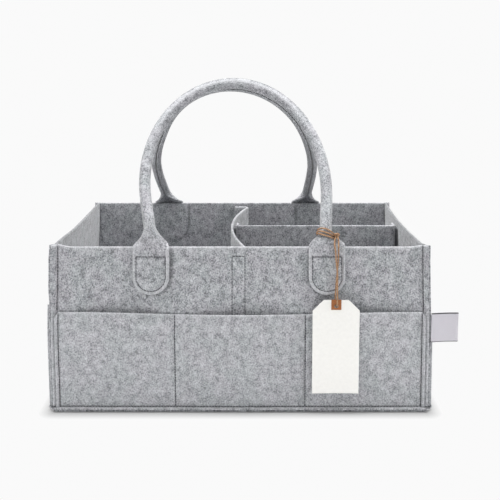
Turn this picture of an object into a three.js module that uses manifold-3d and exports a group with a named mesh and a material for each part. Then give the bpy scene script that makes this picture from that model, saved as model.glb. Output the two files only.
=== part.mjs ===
// A felt nursery caddy: an open box of sewn felt with outer pockets on all four sides, two lift-out
// dividers held by hook-and-loop tape, two rolled carrying handles, a card tag on twine and a folded
// ribbon label. Millimetres, +Z up, front towards -Y, origin on the table under the middle of the base.
import * as THREE from "three";
import { mergeVertices } from "three/addons/utils/BufferGeometryUtils.js";
import Module from "manifold-3d";

const wasm = await Module();
wasm.setup();

// Box
const INNER_WIDTH = 366;
const INNER_DEPTH = 244;
const WALL_HEIGHT = 172; // rim above the table
const FELT = 2.8; // thickness of the walls, pockets, dividers and handles
const BASE_FELT = 2.2; // the base is pressed thinner by what it carries
const LAYER_GAP = 0.3; // between pieces that lie on each other

// Seams: raw edges turned outwards, as a fin up each corner and a lip round the bottom
const CREASE_RADIUS = 1.1; // inside the outermost layer's bend
const FIN = 4.5; // straight part of a corner fin, past its bend
const LIP = 3.5; // how far the bottom lip stands out from the flat pocket face
const LIP_LAYER = 1.8; // a felt layer pressed in the bottom seam
const LIP_CORNER = 0.6; // how far the lip's cut corner stands out past the fins

// Pockets
const POCKET_HEIGHT = 105; // top edge above the table
const MIDDLE_POCKET = 129; // width of the middle one of three
const POCKET_GAPE = 6; // how far a pocket's mouth stands off the wall

// Dividers
const DIVIDER_DROP = 4; // top edge below the rim
const DIVIDER_BOW = 17; // how far the long divider bows to the left in the middle
const FLAP_CREASE = 2.6; // inside radius where an end folds into its flap
const FLAP_SHIFT = 4; // fold line of the long divider, right of its tape's middle

// Hook-and-loop tape
const LOOP_X = -1.5; // middle of the long divider's tapes
const LOOP_WIDTH = 16;
const HOOK_WIDTH = 12;
const TAPE_LENGTH = 120;
const TAPE_DROP = 8; // top of a tape below the rim
const TAPE = 1; // thickness
const TAPE_CORNER = 1.5;

// Handles: a felt strip with flat tab ends, rolled round a core cord between them
const TAB_SPACING = 175; // between the middles of one handle's tabs
const TAB_WIDTH = 36;
const TAB_DROP = 48; // lowest point of a tab below the rim
const ROLL = 12; // outer diameter of the rolled grip
const ROLL_SLIT = 10; // degrees left open along the roll, on the side towards the box
const GRIP_REACH = 197; // from the fold at the rim to the top of the arch, along the handle
const LEG = 75; // height of a leg below the arch
const ARCH_WIDTH = 188; // between the middles of the grip, where the arch springs
const SHOULDER = 20; // length over which the flat strip rolls up
const GATHER = 10; // the same on the leg that the twine draws together
const FLAT_END = 3; // strip that stays flat above the fold
const HANDLE_PARTING = 2; // between the two grips where they lean together

// Twine and card tag
const TWINE = 1.5;
const WRAP_RISE = 11; // first turn above the fold
const WRAP_PITCH = 2; // rise of one turn
const WRAP_TURNS = 1.75;
const KNOT = 4.8; // diameter
const KNOT_SIDE = 9; // knot beside the middle of the leg
const STRAND_HALF = 1; // half the spacing of the two hanging strands
const STRAND_DROP = 64; // from the knot to the top of the card
const STRAND_LEG = 15; // how far the strands lie along the leg below the knot
const TAG_STAND_OFF = 8.3; // from the flat pocket face to the back of the card
const TAG_WIDTH = 48;
const TAG_LENGTH = 97;
const TAG_CLIP = 11; // cut off each top corner
const TAG_CARD = 0.6;
const TAG_HOLE = 4;
const HOLE_INSET = 6; // middle of the hole below the top of the card
const HOLE_LOOP = 3; // bend radius of the twine through the hole
const PATCH_WIDTH = 10;
const PATCH_LENGTH = 10.5;
const PATCH = 0.4;

// Ribbon label, folded double and sewn into the front right corner seam
const LABEL_REACH = 27;
const LABEL_HEIGHT = 28;
const LABEL_DROP = 3; // top edge below the pocket's top edge
const LABEL_RIBBON = 0.5;
const LABEL_FOLD = 0.5; // inside radius of the fold

const felt = new THREE.MeshStandardMaterial({ color: 0xa4a6aa, roughness: 0.95 });
const tapeGrey = new THREE.MeshStandardMaterial({ color: 0x8d9094, roughness: 0.9 });
const jute = new THREE.MeshStandardMaterial({ color: 0xbe8250, roughness: 0.9 });
const card = new THREE.MeshStandardMaterial({ color: 0xf2f0ec, roughness: 0.7 });
const kraft = new THREE.MeshStandardMaterial({ color: 0xa9713f, roughness: 0.8 });
const ribbon = new THREE.MeshStandardMaterial({ color: 0xc8c6ce, roughness: 0.6 });
const coreCord = new THREE.MeshStandardMaterial({ color: 0xd8d6d0, roughness: 0.9 });

const HALF_WIDTH = INNER_WIDTH / 2;
const HALF_DEPTH = INNER_DEPTH / 2;
const DIAGONAL = Math.SQRT1_2;
const POCKET_NEAR = FELT + LAYER_GAP; // inner face of a pocket, out from the wall's inner face
const POCKET_FAR = POCKET_NEAR + FELT;
const BEND = CREASE_RADIUS + POCKET_FAR; // bend radius of a wall's inner face
const FIN_REACH = BEND * (1 - DIAGONAL) + FIN * DIAGONAL; // fin tip, out from the inner corner
const LIP_REACH = POCKET_FAR + LIP; // lip edge, out from a wall's inner face
const LIP_CUT = FIN_REACH + LIP_CORNER;
const WALL_FOOT = BASE_FELT + LAYER_GAP;
const POCKET_FOOT = WALL_FOOT + LIP_LAYER + LAYER_GAP;

const caddy = new THREE.Group();

function place(name, geometry, material, parent = caddy) {
  const mesh = new THREE.Mesh(geometry, material);
  mesh.name = name;
  parent.add(mesh);
  return mesh;
}

function turnedGroup(parent, position, x = 0, y = 0, z = 0) {
  const group = new THREE.Group();
  group.position.copy(position);
  group.rotation.set(x, y, z);
  parent.add(group);
  return group;
}

function smoothStep(from, to, value) {
  const t = Math.min(Math.max((value - from) / (to - from), 0), 1);
  return t * t * (3 - 2 * t);
}

// A plan line moved sideways by a distance, to the right of its direction, with mitred corners.
function shifted(line, distance) {
  const toRight = (i) => {
    const along = line[i + 1].clone().sub(line[i]).normalize();
    return new THREE.Vector2(along.y, -along.x);
  };
  return line.map((p, i) => {
    const before = toRight(Math.max(i - 1, 0));
    const after = toRight(Math.min(i, line.length - 2));
    const mitre = distance / (1 + before.dot(after));
    return p.clone().addScaledVector(before, mitre).addScaledVector(after, mitre);
  });
}

// A closed solid over rings that each run along one face of a sheet and back along the other.
function sheetSolid(rings) {
  const count = rings[0].length;
  const half = count / 2;
  const index = [];
  for (let r = 0; r + 1 < rings.length; r++)
    for (let i = 0; i < count; i++) {
      const a = r * count + i;
      const b = r * count + ((i + 1) % count);
      index.push(a, b, b + count, a, b + count, a + count);
    }
  const top = (rings.length - 1) * count;
  for (let i = 0; i + 1 < half; i++) {
    const back = count - 1 - i;
    index.push(i, back, i + 1, i + 1, back, back - 1);
    index.push(top + i, top + i + 1, top + back, top + i + 1, top + back - 1, top + back);
  }
  const geometry = new THREE.BufferGeometry().setFromPoints(rings.flat());
  geometry.setIndex(index);
  return geometry;
}

// The ring of an upright sheet at one height: its plan line's two faces.
function uprightRing(nearFace, farFace, z) {
  return [...farFace, ...nearFace.slice().reverse()].map((p) => new THREE.Vector3(p.x, p.y, z));
}

function uprightSheet(line, near, far, low, high) {
  const faces = [shifted(line, near), shifted(line, far)];
  return sheetSolid([uprightRing(...faces, low), uprightRing(...faces, high)]);
}

function extrudedPlan(points, low, high) {
  const shape = new THREE.Shape(points);
  const geometry = new THREE.ExtrudeGeometry(shape, { depth: high - low, bevelEnabled: false });
  return geometry.translate(0, 0, low);
}

function toSolid(geometry) {
  const bare = geometry.clone();
  bare.deleteAttribute("normal");
  bare.deleteAttribute("uv");
  const merged = mergeVertices(bare, 1e-4);
  return new wasm.Manifold(
    new wasm.Mesh({
      numProp: 3,
      vertProperties: merged.attributes.position.array,
      triVerts: new Uint32Array(merged.index.array),
    }),
  );
}

function toGeometry(solid) {
  const mesh = solid.getMesh();
  const geometry = new THREE.BufferGeometry();
  geometry.setAttribute("position", new THREE.BufferAttribute(mesh.vertProperties, 3));
  geometry.setIndex(new THREE.BufferAttribute(mesh.triVerts, 1));
  return geometry;
}

function joined(first, second) {
  return toGeometry(toSolid(first).add(toSolid(second)));
}

// Walls and pockets. Each side is drawn as the front one is: along X, facing -Y.
// The plan of a wall's inner face: a straight run that bends outwards into a fin at each end. The
// fins of two neighbouring walls lie on each other along the corner's diagonal.
function wallLine(half, face, run) {
  const straight = half - BEND * Math.tan(Math.PI / 8) - LAYER_GAP * DIAGONAL;
  const bendSteps = 4;
  const end = [];
  for (let i = 0; i <= bendSteps; i++) {
    const turn = (Math.PI / 4) * (i / bendSteps);
    end.push([straight + BEND * Math.sin(turn), -face - BEND * (1 - Math.cos(turn))]);
  }
  const [tipX, tipY] = end[bendSteps];
  end.push([tipX + FIN * DIAGONAL, tipY - FIN * DIAGONAL]);
  const right = end.map(([x, y]) => new THREE.Vector2(x, y));
  const left = end.map(([x, y]) => new THREE.Vector2(-x, y)).reverse();
  const middle = run(straight).map((x) => new THREE.Vector2(x, -face));
  return [...left, ...middle, ...right];
}

// The plan of a layer's bottom lip, from the middle of the layer outwards: mitred against the
// neighbouring lips, with cut corners.
function lipPlan(half, face, near) {
  const depth = near + FELT / 2;
  const innerX = half + depth - (near + LAYER_GAP / 2) * Math.SQRT2;
  const toCut = (half + 2 * LIP_CUT - innerX - depth) / 2;
  const along = Math.min(toCut, LIP_REACH - depth - LAYER_GAP);
  const cut = LIP_REACH - depth - along;
  const inner = [innerX, -face - depth];
  const tip = [innerX + along, -face - depth - along];
  const outer = [tip[0] - cut, tip[1] - cut];
  const mirrored = ([x, y]) => [-x, y];
  const points = [mirrored(outer), outer, tip, inner, mirrored(inner), mirrored(tip)];
  return points.map(([x, y]) => new THREE.Vector2(x, y));
}

function wallPanel(half, face) {
  const line = wallLine(half, face, () => []);
  const sheet = uprightSheet(line, 0, FELT, WALL_FOOT, WALL_HEIGHT);
  return joined(sheet, extrudedPlan(lipPlan(half, face, 0), WALL_FOOT, WALL_FOOT + LIP_LAYER));
}

// A strip of pockets: sewn flat along its fins, bottom and dividing seams, and swelling between them
// by a raised cosine across each pocket that grows quickly from the bottom seam and levels off.
function pocketPanel(half, face, seamsOf) {
  const stepsPerPocket = 10;
  let edges = [];
  const line = wallLine(half, face, (straight) => {
    edges = [-straight, ...seamsOf, straight];
    const run = [];
    for (let k = 0; k + 1 < edges.length; k++)
      for (let i = k ? 0 : 1; i < stepsPerPocket; i++)
        run.push(edges[k] + ((edges[k + 1] - edges[k]) * i) / stepsPerPocket);
    return run;
  });
  const swell = (x) => {
    const k = edges.findIndex((edge, i) => i + 1 < edges.length && x >= edge && x <= edges[i + 1]);
    if (k < 0) return 0;
    return (1 - Math.cos((2 * Math.PI * (x - edges[k])) / (edges[k + 1] - edges[k]))) / 2;
  };
  const nearFace = shifted(line, POCKET_NEAR);
  const farFace = shifted(line, POCKET_FAR);
  const rings = [0, 0.1, 0.25, 0.45, 0.7, 1].map((share) => {
    const gape = POCKET_GAPE * (1 - (1 - share) ** 2);
    const out = (p, i) => new THREE.Vector2(p.x, p.y - gape * swell(line[i].x));
    const z = POCKET_FOOT + (POCKET_HEIGHT - POCKET_FOOT) * share;
    return uprightRing(nearFace.map(out), farFace.map(out), z);
  });
  const lip = extrudedPlan(lipPlan(half, face, POCKET_NEAR), POCKET_FOOT, POCKET_FOOT + LIP_LAYER);
  return joined(sheetSolid(rings), lip);
}

const halfMiddle = MIDDLE_POCKET / 2;
const sides = [
  { name: "front", turn: 0, half: HALF_WIDTH, face: HALF_DEPTH, seams: [-halfMiddle, halfMiddle] },
  { name: "right", turn: Math.PI / 2, half: HALF_DEPTH, face: HALF_WIDTH, seams: [0] },
  { name: "back", turn: Math.PI, half: HALF_WIDTH, face: HALF_DEPTH, seams: [-halfMiddle, halfMiddle] },
  { name: "left", turn: -Math.PI / 2, half: HALF_DEPTH, face: HALF_WIDTH, seams: [0] },
];
const ORIGIN = new THREE.Vector3();
for (const { name, turn, half, face, seams } of sides) {
  const side = turnedGroup(caddy, ORIGIN, 0, 0, turn);
  place(`${name}_panel`, wallPanel(half, face), felt, side);
  place(`${name}_pocket`, pocketPanel(half, face, seams), felt, side);
}

// Base: the lowest layer of the bottom seam, with the lip's cut corners.
function basePlan() {
  const x = HALF_WIDTH + LIP_REACH;
  const y = HALF_DEPTH + LIP_REACH;
  const cut = 2 * (LIP_REACH - LIP_CUT);
  const corner = [
    [x, y - cut],
    [x - cut, y],
  ];
  const quarters = [
    [1, 1],
    [-1, 1],
    [-1, -1],
    [1, -1],
  ];
  return quarters.flatMap(([sx, sy]) => {
    const points = corner.map(([px, py]) => new THREE.Vector2(px * sx, py * sy));
    return sx * sy > 0 ? points : points.reverse();
  });
}
place("base_panel", extrudedPlan(basePlan(), 0, BASE_FELT), felt);

// Tapes: thin strips with rounded corners, drawn standing, with their back on the XZ plane.
function tapeStrip(width) {
  const w = width / 2 - TAPE_CORNER;
  const h = TAPE_LENGTH / 2 - TAPE_CORNER;
  const shape = new THREE.Shape();
  shape.absarc(w, h, TAPE_CORNER, 0, Math.PI / 2);
  shape.absarc(-w, h, TAPE_CORNER, Math.PI / 2, Math.PI);
  shape.absarc(-w, -h, TAPE_CORNER, Math.PI, 1.5 * Math.PI);
  shape.absarc(w, -h, TAPE_CORNER, 1.5 * Math.PI, 2 * Math.PI);
  const options = { depth: TAPE, bevelEnabled: false, curveSegments: 2 };
  const geometry = new THREE.ExtrudeGeometry(shape, options);
  return geometry.rotateX(Math.PI / 2).translate(0, TAPE, 0);
}

// A tape at a plan point, growing from its back towards the direction that its turn gives +Y.
function placeTape(name, width, x, y, turn) {
  const z = WALL_HEIGHT - TAPE_DROP - TAPE_LENGTH / 2;
  const spot = turnedGroup(caddy, new THREE.Vector3(x, y, z), 0, 0, turn);
  place(name, tapeStrip(width), tapeGrey, spot);
}

// Dividers. Between a wall and a divider's flap lie the loop tape, the hook tape and three gaps.
const TAPE_STACK = 2 * TAPE + 3 * LAYER_GAP;
const DIVIDER_FOOT = BASE_FELT + LAYER_GAP;
const DIVIDER_TOP = WALL_HEIGHT - DIVIDER_DROP;
const FLAP_BEND = FLAP_CREASE + FELT / 2; // at the middle of the felt

// The long divider's plan: a flap along the front wall, a fold, a parabola that bows to the left,
// a fold and a flap along the back wall.
const flapY = HALF_DEPTH - TAPE_STACK - FELT / 2;
const foldX = LOOP_X + FLAP_SHIFT;
const bowSlope = Math.atan((2 * DIVIDER_BOW) / (flapY - FLAP_BEND));
const foldTurn = Math.PI / 2 + bowSlope;
const bowEndY = flapY - FLAP_BEND * (1 + Math.sin(bowSlope));
const bowEndX = foldX + FLAP_BEND * Math.cos(bowSlope);
const bowRate = Math.tan(bowSlope) / (2 * bowEndY);
const bowMiddleX = bowEndX - bowRate * bowEndY ** 2;

function mainDividerLine() {
  const foldSteps = 6;
  const bowSteps = 14;
  const half = [new THREE.Vector2(foldX - HOOK_WIDTH, -flapY)];
  for (let i = 0; i <= foldSteps; i++) {
    const turn = (foldTurn * i) / foldSteps;
    const y = -flapY + FLAP_BEND * (1 - Math.cos(turn));
    half.push(new THREE.Vector2(foldX + FLAP_BEND * Math.sin(turn), y));
  }
  const bow = [];
  for (let i = 1; i < bowSteps; i++) {
    const y = bowEndY * ((2 * i) / bowSteps - 1);
    bow.push(new THREE.Vector2(bowMiddleX + bowRate * y * y, y));
  }
  return [...half, ...bow, ...half.map((p) => new THREE.Vector2(p.x, -p.y)).reverse()];
}
function dividerSheet(line) {
  return uprightSheet(line, -FELT / 2, FELT / 2, DIVIDER_FOOT, DIVIDER_TOP);
}
place("main_divider", dividerSheet(mainDividerLine()), felt);

const loopBackY = HALF_DEPTH - LAYER_GAP;
const hookBackY = loopBackY - TAPE_STACK + 2 * LAYER_GAP;
const hookX = foldX - HOOK_WIDTH / 2;
placeTape("front_loop_tape", LOOP_WIDTH, LOOP_X, -loopBackY, 0);
placeTape("back_loop_tape", LOOP_WIDTH, LOOP_X, loopBackY, Math.PI);
placeTape("main_front_hook_tape", HOOK_WIDTH, hookX, -hookBackY, Math.PI);
placeTape("main_back_hook_tape", HOOK_WIDTH, hookX, hookBackY, 0);

// The short divider runs from the long one to the right wall, with both flaps turned to the back.
const crossFlapEnd = FLAP_BEND + HOOK_WIDTH;
const crossTapeY = FLAP_BEND + HOOK_WIDTH / 2;
const mainFaceX = bowMiddleX + bowRate * (crossTapeY + LOOP_WIDTH / 2) ** 2 + FELT / 2;
const crossLeftX = mainFaceX + TAPE_STACK + FELT / 2;
const crossRightX = HALF_WIDTH - TAPE_STACK - FELT / 2;

function crossDividerLine() {
  const foldSteps = 5;
  const fold = [new THREE.Vector2(crossRightX, crossFlapEnd)];
  for (let i = 0; i <= foldSteps; i++) {
    const turn = ((Math.PI / 2) * i) / foldSteps;
    const dx = FLAP_BEND * (1 - Math.cos(turn));
    fold.push(new THREE.Vector2(crossRightX - dx, FLAP_BEND * (1 - Math.sin(turn))));
  }
  const toLeft = (p) => new THREE.Vector2(crossLeftX + crossRightX - p.x, p.y);
  return [...fold, ...fold.map(toLeft).reverse()];
}
place("cross_divider", dividerSheet(crossDividerLine()), felt);

const tapeToTape = TAPE_STACK - 2 * LAYER_GAP; // from the back of a loop tape to that of its hook tape
const rightLoopX = HALF_WIDTH - LAYER_GAP;
const mainLoopX = mainFaceX + LAYER_GAP;
placeTape("right_loop_tape", LOOP_WIDTH, rightLoopX, crossTapeY, Math.PI / 2);
placeTape("cross_right_hook_tape", HOOK_WIDTH, rightLoopX - tapeToTape, crossTapeY, -Math.PI / 2);
placeTape("main_loop_tape", LOOP_WIDTH, mainLoopX, crossTapeY, -Math.PI / 2);
placeTape("cross_left_hook_tape", HOOK_WIDTH, mainLoopX + tapeToTape, crossTapeY, Math.PI / 2);

// Handles. The fold lies along a tab's outer face, just above the rim, and the two grips lean
// towards each other until their tops nearly touch.
const ROLL_RADIUS = ROLL / 2;
const ROLL_MIDDLE = (ROLL - FELT) / 2; // radius at the middle of the rolled felt
const ROLL_HALF_TURN = Math.PI * (1 - ROLL_SLIT / 360);
const hingeY = -(HALF_DEPTH + POCKET_FAR);
const leanReach = -hingeY - ROLL_RADIUS - HANDLE_PARTING / 2;
const topReach = Math.hypot(GRIP_REACH, ROLL_RADIUS);
const LEAN = Math.asin(leanReach / topReach) - Math.atan(ROLL_RADIUS / GRIP_REACH);
const hingeZ = WALL_HEIGHT + POCKET_NEAR * Math.tan(LEAN / 2);
const tabTop = hingeZ - FELT * Math.sin(LEAN) - LAYER_GAP;

function tabPlate() {
  const r = TAB_WIDTH / 2;
  const low = WALL_HEIGHT - TAB_DROP + r;
  const shape = new THREE.Shape();
  shape.moveTo(r, tabTop);
  shape.lineTo(-r, tabTop);
  shape.absarc(0, low, r, Math.PI, 2 * Math.PI);
  const options = { depth: FELT, bevelEnabled: false, curveSegments: 14 };
  const geometry = new THREE.ExtrudeGeometry(shape, options);
  return geometry.rotateX(Math.PI / 2).translate(0, hingeY + FELT, 0);
}

// The middle line of a grip in the handle's plane, from one fold to the other: legs that spread by
// a smooth step and a half ellipse between them.
function legMiddle(rise) {
  return TAB_SPACING / 2 + ((ARCH_WIDTH - TAB_SPACING) / 2) * smoothStep(0, LEG, rise);
}

// Stations up a leg, close together where the strip rolls up.
function legRises(shoulder) {
  const rollSteps = 7;
  const legSteps = 5;
  const rises = [0];
  for (let i = 0; i <= rollSteps; i++) rises.push(FLAT_END + ((shoulder - FLAT_END) * i) / rollSteps);
  for (let i = 1; i < legSteps; i++) rises.push(shoulder + ((LEG - shoulder) * i) / legSteps);
  return rises;
}

function gripSpine(rightShoulder, leftShoulder) {
  const archSteps = 18;
  const right = legRises(rightShoulder).map((rise) => new THREE.Vector2(legMiddle(rise), rise));
  const left = legRises(leftShoulder).map((rise) => new THREE.Vector2(-legMiddle(rise), rise));
  const arch = [];
  for (let i = 0; i <= archSteps; i++) {
    const turn = (Math.PI * i) / archSteps;
    const rise = LEG + (GRIP_REACH - LEG) * Math.sin(turn);
    arch.push(new THREE.Vector2((ARCH_WIDTH / 2) * Math.cos(turn), rise));
  }
  return [...right, ...arch, ...left.reverse()];
}

// A solid swept along a middle line in the handle's plane, square to it and level at both ends.
function sweptSolid(spine, sectionAt) {
  const last = spine.length - 1;
  const rings = spine.map((p, i) => {
    const along = new THREE.Vector2(0, i ? -1 : 1);
    if (i > 0 && i < last) along.subVectors(spine[i + 1], spine[i - 1]).normalize();
    const across = (q) => new THREE.Vector3(p.x + along.y * q.x, q.y, p.y - along.x * q.x);
    return sectionAt(p).map(across);
  });
  return sheetSolid(rings);
}

// The section of the strip: a share of its roll bends it into an arc of a circle that starts flat
// at the tab's width and ends as a nearly closed tube, with its outer face always on the same plane.
function rollSection(share) {
  const pointsAcross = 13;
  const halfTurn = Math.max(share * ROLL_HALF_TURN, 1e-3);
  const width = TAB_WIDTH * (1 - share) + 2 * ROLL_HALF_TURN * ROLL_MIDDLE * share;
  const radius = width / (2 * halfTurn);
  const face = (r) => {
    const points = [];
    for (let i = 0; i < pointsAcross; i++) {
      const turn = halfTurn * ((2 * i) / (pointsAcross - 1) - 1);
      points.push(new THREE.Vector2(r * Math.sin(turn), FELT / 2 + radius - r * Math.cos(turn)));
    }
    return points;
  };
  return [...face(radius + FELT / 2), ...face(radius - FELT / 2).reverse()];
}

function gripStrip(spine, rightShoulder, leftShoulder) {
  const share = (p) => smoothStep(FLAT_END, p.x > 0 ? rightShoulder : leftShoulder, p.y);
  return sweptSolid(spine, (p) => rollSection(share(p)));
}

// The cord inside the roll.
function gripCore(spine) {
  const sides = 8;
  const radius = ROLL_RADIUS - FELT - LAYER_GAP;
  const ring = [];
  for (let i = 0; i < sides; i++) {
    const turn = (2 * Math.PI * i) / sides;
    ring.push(new THREE.Vector2(radius * Math.cos(turn), ROLL_RADIUS + radius * Math.sin(turn)));
  }
  const rolled = spine.filter((p) => p.y > SHOULDER);
  return sweptSolid(rolled, () => ring);
}

const HINGE = new THREE.Vector3(0, hingeY, hingeZ);
function handle(name, turn, rightShoulder) {
  const side = turnedGroup(caddy, ORIGIN, 0, 0, turn);
  for (const [hand, x] of [
    ["left", -TAB_SPACING / 2],
    ["right", TAB_SPACING / 2],
  ]) {
    const spot = turnedGroup(side, new THREE.Vector3(x * Math.cos(turn), 0, 0));
    place(`${name}_${hand}_tab`, tabPlate(), felt, spot);
  }
  const grip = turnedGroup(side, HINGE, -LEAN, 0, 0);
  const spine = gripSpine(rightShoulder, SHOULDER);
  place(`${name}_handle_grip`, gripStrip(spine, rightShoulder, SHOULDER), felt, grip);
  place(`${name}_handle_core`, gripCore(spine), coreCord, grip);
  return grip;
}
const frontGrip = handle("front", 0, GATHER);
handle("back", Math.PI, SHOULDER);

// A round cord along points, of eight sides.
function tubeAlong(points, diameter, steps) {
  const extrudePath = new THREE.CatmullRomCurve3(points, false, "centripetal");
  const ring = new THREE.Shape().absarc(0, 0, diameter / 2, 0, 2 * Math.PI);
  return new THREE.ExtrudeGeometry(ring, { steps, extrudePath, curveSegments: 4, bevelEnabled: false });
}

// Twine round the front right leg: straight off the knot across the front of the roll, round it in
// a helix and straight up to the knot again, drawn about the roll's middle line.
const wrapRadius = ROLL_RADIUS + LAYER_GAP + TWINE / 2;
const wrapHeight = WRAP_PITCH * WRAP_TURNS;
const wrapMiddle = WRAP_RISE + wrapHeight / 2;
const rootOf = (square) => Math.sqrt(Math.max(square, 0));
const knotRadius = KNOT / 2;
const besideKnot = wrapHeight / 2 - TWINE / 2; // nearest part of an end, along the leg from the knot
const leadEnd = KNOT_SIDE - rootOf(knotRadius ** 2 - besideKnot ** 2) - LAYER_GAP;
const tailSide = KNOT_SIDE - wrapRadius - TWINE / 2;
const tailEnd = wrapRadius - rootOf(knotRadius ** 2 - besideKnot ** 2 - tailSide ** 2) - LAYER_GAP;

function wrapPoints() {
  const turnSteps = 24;
  const straightSteps = 4;
  const points = [];
  for (let i = 0; i < straightSteps; i++)
    points.push(new THREE.Vector3(leadEnd * (1 - i / straightSteps), -wrapRadius, 0));
  for (let i = 0; i <= Math.round(WRAP_TURNS * turnSteps); i++) {
    const turn = (2 * Math.PI * i) / turnSteps;
    const rise = (WRAP_PITCH * i) / turnSteps;
    points.push(new THREE.Vector3(-wrapRadius * Math.sin(turn), -wrapRadius * Math.cos(turn), rise));
  }
  for (let i = 1; i <= straightSteps; i++)
    points.push(new THREE.Vector3(wrapRadius, (-tailEnd * i) / straightSteps, wrapHeight));
  return points;
}

// The least gap between stretches of the winding that are more than half a turn apart.
function leastGap(points) {
  const fine = new THREE.CatmullRomCurve3(points).getSpacedPoints(400);
  const apart = Math.PI * wrapRadius;
  const step = fine[0].distanceTo(fine[1]);
  let least = Infinity;
  for (let i = 0; i < fine.length; i++)
    for (let j = i + Math.ceil(apart / step); j < fine.length; j++)
      least = Math.min(least, fine[i].distanceTo(fine[j]) - TWINE);
  return least;
}

const wrapRoute = wrapPoints();
console.log(`twine_wrap: least gap to itself ${leastGap(wrapRoute).toFixed(2)} mm`);
const wrapSpot = turnedGroup(frontGrip, new THREE.Vector3(legMiddle(wrapMiddle), ROLL_RADIUS, WRAP_RISE));
place("twine_wrap", tubeAlong(wrapRoute, TWINE, 64), jute, wrapSpot);

// The knot and what hangs from it, which stays upright when the handle folds.
caddy.updateMatrixWorld(true);
const knotSpot = wrapSpot.localToWorld(new THREE.Vector3(KNOT_SIDE, -wrapRadius, wrapHeight / 2));
const hanging = turnedGroup(caddy, knotSpot);
place("twine_knot", new THREE.SphereGeometry(knotRadius, 12, 8), jute, hanging);

const cardY = -(HALF_DEPTH + POCKET_FAR + TAG_STAND_OFF + TAG_CARD / 2) - knotSpot.y;
const holeZ = -STRAND_DROP - HOLE_INSET;

// The twine's route from the knot: down the leg, past the fold and down the front to the card,
// through its hole and back up behind it.
function strandPoints() {
  const downLeg = (way) => [-Math.sin(LEAN) * way, -Math.cos(LEAN) * way];
  const loopZ = holeZ + HOLE_LOOP;
  const between = (to, share) => {
    const from = downLeg(STRAND_LEG);
    return [from[0] + (to[0] - from[0]) * share, from[1] + (to[1] - from[1]) * share];
  };
  const front = [cardY - HOLE_LOOP, loopZ];
  const behind = [cardY + HOLE_LOOP, loopZ];
  const leave = rootOf(knotRadius ** 2 - (STRAND_HALF - TWINE / 2) ** 2) + LAYER_GAP;
  const leg = [leave, STRAND_LEG / 2, STRAND_LEG].map(downLeg);
  const down = [...leg, between(front, 0.3), between(front, 0.7), front];
  const up = [behind, between(behind, 0.7), between(behind, 0.3), ...leg.reverse()];
  const points = down.map(([y, z]) => new THREE.Vector3(-STRAND_HALF, y, z));
  const loopSteps = 8;
  for (let i = 1; i < loopSteps; i++) {
    const turn = (Math.PI * i) / loopSteps;
    const back = Math.cos(turn);
    const z = loopZ - HOLE_LOOP * Math.sin(turn);
    points.push(new THREE.Vector3(-STRAND_HALF * back, cardY - HOLE_LOOP * back, z));
  }
  return [...points, ...up.map(([y, z]) => new THREE.Vector3(STRAND_HALF, y, z))];
}
place("twine_strands", tubeAlong(strandPoints(), TWINE, 76), jute, hanging);

// A plate in the card's plane with the twine's hole through it, standing with its front towards -Y.
function holedPlate(outline, thickness, backY) {
  const shape = new THREE.Shape(outline);
  shape.holes.push(new THREE.Path().absarc(0, holeZ, TAG_HOLE / 2, 0, 2 * Math.PI, true));
  const options = { depth: thickness, bevelEnabled: false, curveSegments: 10 };
  const geometry = new THREE.ExtrudeGeometry(shape, options);
  return geometry.rotateX(Math.PI / 2).translate(0, backY, 0);
}

function tagOutline() {
  const half = TAG_WIDTH / 2;
  const top = -STRAND_DROP;
  const right = [
    [half, top - TAG_LENGTH],
    [half, top - TAG_CLIP],
    [half - TAG_CLIP, top],
  ];
  const left = right.map(([x, z]) => [-x, z]).reverse();
  return [...right, ...left].map(([x, z]) => new THREE.Vector2(x, z));
}

function patchOutline() {
  const half = PATCH_WIDTH / 2;
  const top = -STRAND_DROP;
  const corners = [
    [half, top - PATCH_LENGTH],
    [half, top],
    [-half, top],
    [-half, top - PATCH_LENGTH],
  ];
  return corners.map(([x, z]) => new THREE.Vector2(x, z));
}
place("hang_tag", holedPlate(tagOutline(), TAG_CARD, cardY + TAG_CARD / 2), card, hanging);
place("tag_patch", holedPlate(patchOutline(), PATCH, cardY - TAG_CARD / 2 - LAYER_GAP), kraft, hanging);

// Label: a ribbon folded double, whose raw ends meet the tip of the front right corner fin.
function labelLine() {
  const fold = LABEL_FOLD + LABEL_RIBBON / 2;
  const flat = LABEL_REACH - fold;
  const foldSteps = 6;
  const line = [new THREE.Vector2(0, fold)];
  for (let i = 0; i <= foldSteps; i++) {
    const turn = Math.PI * (0.5 - i / foldSteps);
    line.push(new THREE.Vector2(flat + fold * Math.cos(turn), fold * Math.sin(turn)));
  }
  line.push(new THREE.Vector2(0, -fold));
  return line;
}
const labelOff = LABEL_FOLD + LABEL_RIBBON + LAYER_GAP;
const labelSpot = new THREE.Vector3(
  HALF_WIDTH + FIN_REACH - LAYER_GAP * DIAGONAL + labelOff * DIAGONAL,
  -HALF_DEPTH - FIN_REACH - labelOff * DIAGONAL,
  POCKET_HEIGHT - LABEL_DROP - LABEL_HEIGHT,
);
const labelSheet = uprightSheet(labelLine(), -LABEL_RIBBON / 2, LABEL_RIBBON / 2, 0, LABEL_HEIGHT);
place("side_label", labelSheet, ribbon, turnedGroup(caddy, labelSpot));

export default caddy;
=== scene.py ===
"""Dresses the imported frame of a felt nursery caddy: sewn felt walls, pockets, rolled handles,
lift-out dividers, twine, a card tag and a ribbon label, on a plain pale stage."""

import math

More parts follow.
